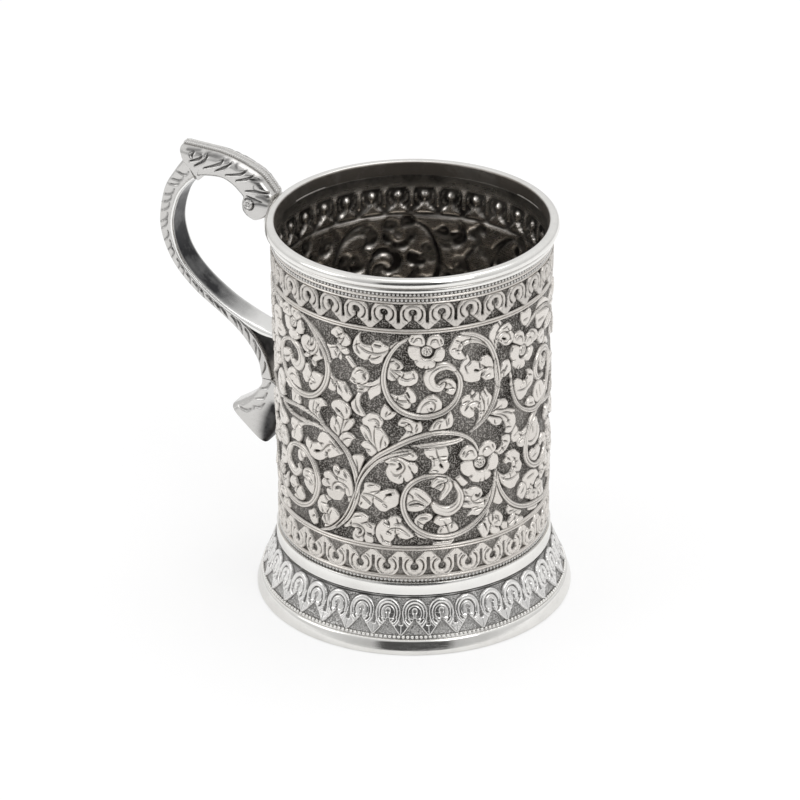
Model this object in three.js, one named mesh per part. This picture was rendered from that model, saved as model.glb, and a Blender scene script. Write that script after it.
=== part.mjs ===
// A chased silver pint tankard: a drum on a spreading foot, with a scroll handle that ends in a bird's head.
// Millimetres, +Z up. The handle reaches along -X, and the whole object is symmetric about the XZ plane.
import * as THREE from "three";

// Drum
const drumRadius = 42.8; // outside, at the mouth
const drumTaper = 0.9; // radius lost between the mouth and the lower edge
const drumHeight = 109;
const drumWall = 1;

// Foot
const footSpread = 6.7; // how far the foot stands out past the mouth end of the drum
const footSkirtHeight = 11.7;
const footWall = 1;
const footFlare = 1.1; // how far the skirt hollows in from a straight cone
const footRingHeight = 5.6;
const footRingThickness = 2.6;
const footRingRound = 1.2;
const drumTuck = 3; // how far the drum passes down into the foot

// Collar that covers the joint of drum and foot
const collarHeight = 3.1;
const collarLip = 0.7; // thickness of the collar's upper edge

// Base plate inside the drum
const baseThickness = 1;
const baseLift = 1.5; // from the drum's lower edge to the plate's underside

// Rim
const rimOverhang = 2.24; // how far the roll stands out past the drum
const rimRoll = 1.5; // radius of the roll
const rimCap = 1.3; // metal above the drum's edge
const rimSkirt = 3; // how far the rim comes down the outside of the drum
const rimBand = 1.0; // thickness of the plain band under the roll
const rimInnerRound = 0.7;

// Handle
const handleReach = 40.26; // from the rim's edge to the outermost point of the scroll
const handleWidth = 9.7;
const tailClearance = 21.3; // from the top of the foot to the tip of the tail
const tailWidth = 11; // across the flared end of the tail
const tailPad = 5; // height over which the tail bears on the drum
const strapThickness = 1.2; // smooth strip that closes the finger side of the scroll
const spurSwell = 1.2; // how much thicker the strip grows halfway along its spur to the drum
const neckWidth = 8.6; // at the cut end
const headWidth = 10;
const crestWidth = 3.6;
const crestThickness = 1.2;

// How square the handle's sections are: 2 is an ellipse
const scrollSquareness = 5;
const strapSquareness = 8;
const tailSquareness = 4;
const neckSquareness = 2.6;
const crestSquareness = 4;

const solderGap = 0.2; // left between neighbours that are soldered together
const roundSteps = 72;
const arcSteps = 4;
const stationSteps = 3; // rings between two stations of the handle
const sectionSteps = 16; // points round one ring of the handle

// Heights that follow from the sizes above
const skirtBottom = footRingHeight + solderGap;
const footTop = skirtBottom + footSkirtHeight;
const drumBottom = footTop - drumTuck;
const drumTop = drumBottom + drumHeight;
const mouthHeight = drumTop + solderGap + rimCap;
const tailTip = footTop + tailClearance;
const handleDrop = mouthHeight - tailTip;
const rimReach = drumRadius + rimOverhang + solderGap;

const polishedSilver = new THREE.MeshStandardMaterial({ color: 0xd8d5ce, roughness: 0.18, metalness: 1 });
const chasedSilver = new THREE.MeshStandardMaterial({ color: 0xa8a39b, roughness: 0.35, metalness: 1 });

const tankard = new THREE.Group();

function addPart(name, geometry, material) {
  const part = new THREE.Mesh(geometry, material);
  part.name = name;
  tankard.add(part);
}

function drumRadiusAt(height) {
  return drumRadius - (drumTaper * (drumTop - height)) / drumHeight;
}

function point(across, up) {
  return new THREE.Vector2(across, up);
}

// Points of an arc from one angle to another, in degrees
function arc(centre, radius, from, to) {
  return Array.from({ length: arcSteps + 1 }, (_, step) => {
    const angle = THREE.MathUtils.degToRad(from + ((to - from) * step) / arcSteps);
    return point(centre.x + radius * Math.cos(angle), centre.y + radius * Math.sin(angle));
  });
}

// A closed section, run anticlockwise with the radius across, turned round the drum's axis
function turned(section) {
  const geometry = new THREE.LatheGeometry([...section, section[0]], roundSteps);
  return geometry.rotateX(Math.PI / 2);
}

// A bar between the edges on its left and right, in the handle's plane seen with the drum to the right.
// Its sections are rounded oblongs, squarer as squareness grows.
function bar(left, right, startWidth, endWidth, squareness) {
  const rounded = (share) => Math.sign(share) * Math.abs(share) ** (2 / squareness);
  const last = left.length - 1;
  const places = [];
  const faces = [];
  const ring = (row, step) => row * sectionSteps + (step % sectionSteps);
  left.forEach((edge, row) => {
    const middle = edge.clone().add(right[row]).multiplyScalar(0.5);
    const width = THREE.MathUtils.lerp(startWidth, endWidth, row / last);
    for (let step = 0; step < sectionSteps; step += 1) {
      const angle = (2 * Math.PI * (step + 0.5)) / sectionSteps;
      const place = middle.clone().lerp(edge, rounded(Math.sin(angle)));
      places.push(place.x, (width / 2) * rounded(Math.cos(angle)), place.y);
    }
  });
  for (let row = 0; row < last; row += 1) {
    for (let step = 0; step < sectionSteps; step += 1) {
      const corners = [ring(row, step), ring(row, step + 1), ring(row + 1, step + 1), ring(row + 1, step)];
      faces.push(corners[0], corners[1], corners[2], corners[0], corners[2], corners[3]);
    }
  }
  for (let step = 1; step < sectionSteps - 1; step += 1) {
    faces.push(ring(0, 0), ring(0, step + 1), ring(0, step));
    faces.push(ring(last, 0), ring(last, step), ring(last, step + 1));
  }
  const geometry = new THREE.BufferGeometry();
  geometry.setAttribute("position", new THREE.Float32BufferAttribute(places, 3));
  geometry.setIndex(faces);
  geometry.computeVertexNormals();
  return geometry;
}

// A place on the handle: percent of its reach out from the rim, and percent of its drop below the mouth
function onHandle(out, drop) {
  return point(-rimReach - (handleReach * out) / 100, mouthHeight - (handleDrop * drop) / 100);
}

// A place on the handle's side of the drum, clear of its wall
function onDrum(height) {
  return point(-drumRadiusAt(height) - solderGap, height);
}

// A smooth line through the stations of one edge
function through(stations) {
  return new THREE.SplineCurve(stations).getPoints(stationSteps * (stations.length - 1));
}

// A straight line with as many points as a smooth one through that many stations
function straight(from, to, stations) {
  const steps = stationSteps * (stations - 1);
  return Array.from({ length: steps + 1 }, (_, step) => from.clone().lerp(to, step / steps));
}

// An edge moved to the right of its own direction, by a distance that may change along it
function beside(edge, distanceAt) {
  return edge.map((place, index) => {
    const before = edge[Math.max(index - 1, 0)];
    const after = edge[Math.min(index + 1, edge.length - 1)];
    const along = after.clone().sub(before).normalize();
    const distance = distanceAt(index / (edge.length - 1));
    return point(place.x + along.y * distance, place.y - along.x * distance);
  });
}

function makeDrum() {
  const lower = drumRadiusAt(drumBottom);
  return turned([
    point(lower - drumWall, drumBottom),
    point(lower, drumBottom),
    point(drumRadius, drumTop),
    point(drumRadius - drumWall, drumTop),
  ]);
}

function makeBasePlate() {
  const underside = drumBottom + baseLift;
  const radius = drumRadiusAt(underside) - drumWall - solderGap;
  return turned([
    point(0, underside),
    point(radius, underside),
    point(radius, underside + baseThickness),
    point(0, underside + baseThickness),
  ]);
}

function makeRim() {
  const inner = drumRadius - drumWall;
  const bore = drumRadius + solderGap;
  const bandRadius = bore + rimBand;
  const bottom = drumTop - rimSkirt;
  const seat = drumTop + solderGap;
  const roll = point(drumRadius + rimOverhang - rimRoll, mouthHeight - rimRoll);
  const rollFoot = -75;
  const lip = point(inner + rimInnerRound, mouthHeight - rimInnerRound);
  return turned([
    point(bore, bottom),
    point(bandRadius, bottom),
    ...arc(roll, rimRoll, rollFoot, 90),
    ...arc(lip, rimInnerRound, 90, 180),
    point(inner, seat),
    point(bore, seat),
  ]);
}

function makeCollar() {
  const bottom = footTop + solderGap;
  const top = bottom + collarHeight;
  return turned([
    point(drumRadiusAt(bottom) + solderGap, bottom),
    point(drumRadiusAt(footTop) + solderGap + footWall, bottom),
    point(drumRadiusAt(top) + solderGap + collarLip, top),
    point(drumRadiusAt(top) + solderGap, top),
  ]);
}

function makeFootSkirt() {
  const neck = drumRadiusAt(footTop) + solderGap;
  const hem = drumRadius + footSpread - footWall - footRingThickness / 4;
  const waist = point((neck + hem) / 2 - footFlare, (footTop + skirtBottom) / 2);
  const inside = new THREE.QuadraticBezierCurve(point(neck, footTop), waist, point(hem, skirtBottom));
  const innerLine = inside.getPoints(arcSteps);
  const outerLine = innerLine.map((place) => point(place.x + footWall, place.y)).reverse();
  return turned([...innerLine, ...outerLine]);
}

function makeFootRing() {
  const outer = drumRadius + footSpread;
  const shoulder = point(outer - footRingRound, footRingHeight - footRingRound);
  return turned([
    point(outer - footRingThickness, 0),
    point(outer - footRingRound / 2, 0),
    point(outer, footRingRound / 2),
    ...arc(shoulder, footRingRound, 0, 90),
    point(outer - footRingThickness, footRingHeight),
  ]);
}

// The scroll's outer edge runs from the neck round to the waist above the tail
const waistOuter = onHandle(13.8, 73.1);
const waistInner = onHandle(3.1, 73.1);
const scrollOuter = through([
  onHandle(76.2, -8.8),
  onHandle(86.1, -2.5),
  onHandle(95.5, 5.5),
  onHandle(100, 17.9),
  onHandle(96.3, 27),
  onHandle(86.3, 35.7),
  onHandle(69.4, 43.7),
  onHandle(47.8, 50.7),
  onHandle(33.7, 55.9),
  onHandle(23.7, 61),
  onHandle(16, 67.1),
  waistOuter,
]);

// The finger side runs from the neck round to the fork, where the spur leaves the scroll for the drum
const fingerSide = through([
  onHandle(67, -0.8),
  onHandle(74.2, 2.3),
  onHandle(82.4, 8.1),
  onHandle(87.6, 17.9),
  onHandle(84.8, 26.7),
  onHandle(77.1, 33.8),
  onHandle(63.5, 40.5),
  onHandle(44.9, 46.8),
  onHandle(29.7, 50.5),
]);
const spurSide = through([
  fingerSide.at(-1),
  onHandle(11.8, 53.5),
  onDrum(onHandle(0, 55).y),
]);

function makeScroll() {
  const strapSide = beside(fingerSide, () => strapThickness + solderGap);
  const fork = through([
    strapSide.at(-1),
    onHandle(18.3, 56.4),
    onHandle(8.8, 63.8),
    waistInner,
  ]);
  return bar([...strapSide, ...fork.slice(1)], scrollOuter, handleWidth, handleWidth, scrollSquareness);
}

function makeStrap() {
  const finger = [...fingerSide, ...spurSide.slice(1)];
  const spurStart = fingerSide.length / finger.length;
  const thickness = (share) => {
    const alongSpur = THREE.MathUtils.clamp((share - spurStart) / (1 - spurStart), 0, 1);
    return strapThickness + spurSwell * Math.sin(Math.PI * alongSpur);
  };
  return bar(finger, beside(finger, thickness), handleWidth, handleWidth, strapSquareness);
}

function makeTail() {
  const seam = point(0, solderGap);
  const padTop = onHandle(0, 76.6).y;
  const outside = through([
    waistOuter.clone().sub(seam),
    onHandle(14.8, 76.2),
    onHandle(18.5, 78.9),
    onHandle(24.7, 82.1),
    onHandle(32.9, 84.9),
    onHandle(40.6, 87.2),
  ]);
  const back = through([
    waistInner.clone().sub(seam),
    onDrum(padTop),
    onDrum(padTop - tailPad),
    onHandle(-2.6, 87.5),
    onHandle(2.4, 93.7),
    onHandle(10.6, 100),
  ]).map((place) => point(Math.min(place.x, onDrum(place.y).x), place.y));
  return bar(back, outside, handleWidth, tailWidth, tailSquareness);
}

// The crest runs along the top of the neck, from the cut end over and down to the rim
const crestTop = through([
  onHandle(80.1, -13.2),
  onHandle(69, -13.1),
  onHandle(59, -12.8),
  onHandle(48.8, -12.5),
  onHandle(38.6, -11.6),
  onHandle(28.7, -10.2),
  onHandle(20.3, -8.6),
  onHandle(11.8, -6.5),
  onHandle(5.6, -3.5),
  onHandle(0, -0.3),
]);

function makeNeck() {
  const nape = beside(crestTop, () => crestThickness + solderGap);
  const breast = through([
    nape.at(-1),
    onHandle(0.1, 3.9),
    onHandle(2.4, 7),
    onHandle(7.4, 9),
    onHandle(12.6, 10),
  ]);
  const seam = point(0, solderGap * 2);
  const jointOuter = scrollOuter[0].clone().add(seam);
  const jointInner = fingerSide[0].clone().add(seam);
  const throat = through([
    jointInner,
    onHandle(55.3, -2.3),
    onHandle(44.1, -2.4),
    onHandle(35.9, -0.7),
    onHandle(30.2, 1.7),
    onHandle(27.5, 3.4),
    onHandle(28.7, 4.9),
    onHandle(29.5, 6.3),
    onHandle(28.7, 8.2),
    onHandle(25.7, 9.6),
    onHandle(21.3, 10.2),
    onHandle(17.5, 10.3),
  ]);
  const jointStations = 3;
  const lower = [...straight(jointOuter, jointInner, jointStations), ...throat.slice(1)];
  return bar([...nape, ...breast.slice(1)], lower, neckWidth, headWidth, neckSquareness);
}

function makeCrest() {
  const underside = beside(crestTop, () => crestThickness);
  return bar(crestTop, underside, crestWidth, crestWidth, crestSquareness);
}

addPart("drum", makeDrum(), chasedSilver);
addPart("base_plate", makeBasePlate(), polishedSilver);
addPart("rim", makeRim(), polishedSilver);
addPart("collar", makeCollar(), polishedSilver);
addPart("foot_skirt", makeFootSkirt(), chasedSilver);
addPart("foot_ring", makeFootRing(), polishedSilver);
addPart("handle_scroll", makeScroll(), chasedSilver);
addPart("handle_strap", makeStrap(), polishedSilver);
addPart("handle_tail", makeTail(), chasedSilver);
addPart("bird_neck", makeNeck(), chasedSilver);
addPart("neck_crest", makeCrest(), chasedSilver);

// The origin is under the middle of the whole object, handle included
const extent = new THREE.Box3().setFromObject(tankard);
tankard.children.forEach((part) => {
  part.position.x = -(extent.min.x + extent.max.x) / 2;
});

export default tankard;
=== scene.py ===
"""Looks of a chased silver tankard with a bird's-head handle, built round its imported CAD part."""

import copy
import logging
import math
from dataclasses import dataclass, field, replace
from enum import Enum
from typing import Callable, Iterator, Sequence

import bpy
import numpy as np
from mathutils import Matrix, Vector


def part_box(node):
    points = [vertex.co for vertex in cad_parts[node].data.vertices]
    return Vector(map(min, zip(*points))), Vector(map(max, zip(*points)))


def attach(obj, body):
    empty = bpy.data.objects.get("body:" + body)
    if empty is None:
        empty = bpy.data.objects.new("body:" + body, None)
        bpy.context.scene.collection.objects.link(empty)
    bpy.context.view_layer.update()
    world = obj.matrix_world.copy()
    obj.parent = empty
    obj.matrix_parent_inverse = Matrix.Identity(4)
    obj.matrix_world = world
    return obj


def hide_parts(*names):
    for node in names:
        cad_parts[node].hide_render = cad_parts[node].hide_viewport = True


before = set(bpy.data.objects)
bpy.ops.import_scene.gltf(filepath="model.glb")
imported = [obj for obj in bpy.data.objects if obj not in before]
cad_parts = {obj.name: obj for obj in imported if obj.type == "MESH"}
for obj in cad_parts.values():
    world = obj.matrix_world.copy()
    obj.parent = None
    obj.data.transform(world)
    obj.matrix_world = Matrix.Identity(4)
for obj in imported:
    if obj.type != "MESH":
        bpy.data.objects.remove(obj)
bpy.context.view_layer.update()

LOG = logging.getLogger("tankard")
MM = 0.001
BODY = "root"
FRONT = math.radians(26.0)  # where the middle of the foliage panel faces, round the drum from -Y

Piece, Tree, Socket = bpy.types.Object, bpy.types.NodeTree, bpy.types.NodeSocket
Point = tuple[float, float]
Colour = tuple[float, float, float]
Window = tuple[np.ndarray, tuple[slice, slice], np.ndarray, np.ndarray]

WAVES = ((3, 0.7, 1.0), (7, 2.1, 0.6), (13, 0.0, 0.4))  # of a hand-worked wall: count, start and share
TURNED_EDGE = math.radians(38)
RING_MAP, RING_MAP_HALF = ((0.02, 0.84), (0.90, 0.08)), 0.47  # of a ring's outer faces and the rest
FACE_MAP, EDGE_MAP = (0.0, 0.0, 1.0, 0.96), (0.0, 0.97, 1.0, 1.0)  # of a worked face and its back


def drum_axis() -> float:
    """Gives the x of the drum's axis, in millimetres."""
    low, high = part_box("drum")
    return (low[0] + high[0]) / 2 / MM


AXIS_X = drum_axis()


def smooth_step(low: float, high: float, value: np.ndarray) -> np.ndarray:
    """Eases from 0 where a value is low to 1 where it is high."""
    share = np.clip((value - low) / (high - low), 0.0, 1.0)
    return share * share * (3.0 - 2.0 * share)


def bell(value: np.ndarray, spread: float = 1.0) -> np.ndarray:
    """Falls softly from 1 at 0 to nothing a few spreads away."""
    return np.exp(-((value / spread) ** 2))


def dome(value: np.ndarray) -> np.ndarray:
    """Falls roundly from 1 at 0 to 0 at 1 either way."""
    return np.sqrt(np.clip(1.0 - value ** 2, 0.0, 1.0))


def through(stations: Sequence[Point], steps: int, ease: float = 1.0) -> np.ndarray:
    """Runs a smooth line through stations.

    Args:
        stations: The places that the line passes through.
        steps: Points on each stretch between two stations.
        ease: How far the line rounds its stations, from 0 for straight stretches to 1.

    Returns:
        The line's points, one row each.
    """
    given = np.asarray(stations, dtype=float)
    padded = np.vstack([given[:1], given, given[-1:]])
    share = np.arange(steps)[:, None] / steps
    stretches = []
    for index in range(len(given) - 1):
        before, start, end, after = padded[index:index + 4]
        pull_start = (end - start) * (1 - ease) + (end - before) / 2 * ease
        pull_end = (end - start) * (1 - ease) + (after - start) / 2 * ease
        cubic = 2 * start - 2 * end + pull_start + pull_end
        square = -3 * start + 3 * end - 2 * pull_start - pull_end
        stretches.append(((cubic * share + square) * share + pull_start) * share + start)
    return np.vstack([*stretches, given[-1:]])


def blurred(values: np.ndarray, spread: float, wraps: bool) -> np.ndarray:
    """Softens a grid of values.

    Args:
        values: The grid, rows by columns.
        spread: Standard deviation in grid steps.
        wraps: Whether the columns close on themselves.

    Returns:
        The softened grid.
    """
    reach = max(1, math.ceil(spread * 2.5))
    offsets = np.arange(-reach, reach + 1)
    weights = np.exp(-0.5 * (offsets / spread) ** 2)
    weights /= weights.sum()
    across = np.pad(values, ((0, 0), (reach, reach)), mode="wrap" if wraps else "edge")
    columns = values.shape[1]
    soft = sum(weight * across[:, step:step + columns] for step, weight in enumerate(weights))
    down = np.pad(soft, ((reach, reach), (0, 0)), mode="edge")
    rows = values.shape[0]
    return sum(weight * down[step:step + rows] for step, weight in enumerate(weights))


def put_in_scene(name: str, data: bpy.types.ID) -> Piece:
    """Makes an object of a mesh, lamp or camera and links it to the scene."""
    made = bpy.data.objects.new(name, data)
    bpy.context.scene.collection.objects.link(made)
    return made


class Draft:
    """Points and faces of one piece while it is put together, in millimetres."""

    def __init__(self) -> None:
        """Starts an empty draft."""
        self.points: list[np.ndarray] = []
        self.faces: list[tuple[np.ndarray, np.ndarray, bool]] = []
        self.count = 0

    def add_points(self, points: np.ndarray) -> np.ndarray:
        """Adds points.

        Args:
            points: Places of any grid shape, with x, y and z last.

        Returns:
            Their numbers in the draft, in the same grid shape.
        """
        flat = points.reshape(-1, 3)
        numbers = np.arange(self.count, self.count + len(flat)).reshape(points.shape[:-1])
        self.points.append(flat)
        self.count += len(flat)
        return numbers

    def add_quads(self, numbers: np.ndarray, rows_close: bool, columns_close: bool, smooth: bool,
                  box: tuple[float, float, float, float] = (0.0, 0.0, 1.0, 1.0)) -> None:
        """Adds the faces of a grid of points.

        Args:
            numbers: Point numbers, rows by columns. Columns across rows gives the outward side.
            rows_close: Whether the last row joins the first.
            columns_close: Whether the last column joins the first.
            smooth: Whether the faces are shaded smooth.
            box: The part of the unrolled map that the grid takes.
        """
        grid = np.vstack([numbers, numbers[:1]]) if rows_close else numbers
        grid = np.hstack([grid, grid[:, :1]]) if columns_close else grid
        corners = np.stack([grid[:-1, :-1], grid[:-1, 1:], grid[1:, 1:], grid[1:, :-1]], axis=-1)
        up = np.linspace(box[1], box[3], grid.shape[0])
        across = np.linspace(box[0], box[2], grid.shape[1])
        place = np.stack(np.meshgrid(across, up), axis=-1)
        places = np.stack([place[:-1, :-1], place[:-1, 1:], place[1:, 1:], place[1:, :-1]], axis=-2)
        self.faces.append((corners.reshape(-1, 4), places.reshape(-1, 4, 2), smooth))

    def add_cap(self, ring: np.ndarray) -> None:
        """Closes a ring of points, anticlockwise seen from outside, with one flat face."""
        turn = np.linspace(0.0, 2 * math.pi, len(ring), endpoint=False)
        places = 0.5 + 0.01 * np.stack([np.cos(turn), np.sin(turn)], axis=-1)
        self.faces.append((ring[None, :], places[None, :, :], False))

    def build(self, name: str, values: dict[str, np.ndarray]) -> Piece:
        """Makes the object.

        Args:
            name: The piece's name.
            values: Attributes by name, with a value for each point.

        Returns:
            The new object, linked to the scene.
        """
        mesh = bpy.data.meshes.new(name)
        corner_counts = np.concatenate([np.full(len(c), c.shape[1]) for c, _, _ in self.faces])
        smooth = np.concatenate([np.full(len(c), s) for c, _, s in self.faces])
        corners = np.concatenate([c.ravel() for c, _, _ in self.faces])
        places = np.concatenate([p.reshape(-1, 2) for _, p, _ in self.faces])
        mesh.vertices.add(self.count)
        mesh.vertices.foreach_set("co", (np.vstack(self.points) * MM).astype(np.float32).ravel())
        mesh.loops.add(len(corners))
        mesh.loops.foreach_set("vertex_index", corners.astype(np.int32))
        mesh.polygons.add(len(corner_counts))
        starts = np.concatenate([[0], np.cumsum(corner_counts)[:-1]])
        mesh.polygons.foreach_set("loop_start", starts.astype(np.int32))
        mesh.polygons.foreach_set("use_smooth", smooth)
        mesh.update(calc_edges=True)
        layer = mesh.uv_layers.new(name="OFBake")
        layer.data.foreach_set("uv", places.astype(np.float32).ravel())
        for label, numbers in values.items():
            attribute = mesh.attributes.new(label, "FLOAT", "POINT")
            attribute.data.foreach_set("value", numbers.astype(np.float32).ravel())
        return put_in_scene(name, mesh)


def round_axis(radius: np.ndarray, height: np.ndarray, turn: np.ndarray) -> np.ndarray:
    """Places points round the drum's axis, with the angle in radians from -Y towards +X."""
    radius, height, turn = np.broadcast_arrays(radius, height, turn)
    return np.stack([AXIS_X + radius * np.sin(turn), -radius * np.cos(turn), height], axis=-1)


def arc(centre: Point, radius: float, start: float, end: float, steps: int) -> list[Point]:
    """Gives points of an arc in a section, from one angle in degrees to another."""
    angles = [math.radians(start + (end - start) * step / steps) for step in range(steps + 1)]
    return [(centre[0] + radius * math.cos(a), centre[1] + radius * math.sin(a)) for a in angles]


def turned(name: str, section: Sequence[Point] | np.ndarray, steps: int, sway: float = 0.0,
           cavity: np.ndarray | float = 0.0) -> Piece:
    """Turns a closed section round the drum's axis.

    Args:
        name: The piece's name.
        section: Radius and height of each corner, anticlockwise with the radius to the right.
        steps: Faces round the axis.
        sway: How far the hand-worked wall wavers in and out, in millimetres.
        cavity: Tarnish share of each corner.

    Returns:
        The piece.
    """
    corners = np.asarray(section, dtype=float)
    turn = np.arange(steps) * 2 * math.pi / steps
    waver = sway * sum(share * np.sin(count * turn + start) for count, start, share in WAVES)
    radius = corners[:, :1] + waver[None, :]
    draft = Draft()
    grid = draft.add_points(round_axis(radius, corners[:, 1:], turn[None, :]))
    draft.add_quads(grid, True, True, True)
    shares = np.zeros(radius.shape) + np.reshape(cavity, (-1, 1))
    piece = draft.build(name, {"cavity": shares, "relief": 1.0 - shares})
    piece.data.set_sharp_from_angle(angle=TURNED_EDGE)
    return piece


def slab(name: str, outer: np.ndarray, back: np.ndarray, values: dict[str, np.ndarray]) -> Piece:
    """Closes a worked face with a plain back.

    Args:
        name: The piece's name.
        outer: Points of the face, rows by columns.
        back: Points of the back's lower and upper edges.
        values: The face's attributes by name.

    Returns:
        The closed piece.
    """
    draft = Draft()
    face, rear = draft.add_points(outer), draft.add_points(back)
    draft.add_quads(face, False, False, True, FACE_MAP)
    edge = np.stack([face[-1], rear[1], rear[0], face[0]])
    draft.add_quads(edge, False, False, False, EDGE_MAP)
    draft.add_cap(np.concatenate([face[:, 0], rear[::-1, 0]]))
    draft.add_cap(np.concatenate([face[:, -1], rear[::-1, -1]])[::-1])
    blank = np.zeros(rear.shape)
    return draft.build(name, {label: np.vstack([shares, blank]) for label, shares in values.items()})


@dataclass(frozen=True)
class Stroke:
    """One raised form of a drawing: a path with a half-width and a crest at each of its points."""

    path: np.ndarray
    half_width: np.ndarray
    crest: np.ndarray
    grooved: bool = False
    vein: float = 0.0
    fullness: float = 4.0
    sunk: bool = False


def from_stretch(across: np.ndarray, down: np.ndarray, start: np.ndarray,
                 step: np.ndarray) -> tuple[np.ndarray, np.ndarray]:
    """Measures places against a straight stretch.

    Args:
        across: Places across.
        down: Places down.
        start: Where the stretch starts.
        step: From its start to its end.

    Returns:
        The nearest share of the stretch and the distance to it.
    """
    share = ((across - start[0]) * step[0] + (down - start[1]) * step[1]) / max(step @ step, 1e-9)
    share = np.clip(share, 0.0, 1.0)
    return share, np.hypot(across - start[0] - share * step[0], down - start[1] - share * step[1])


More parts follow.
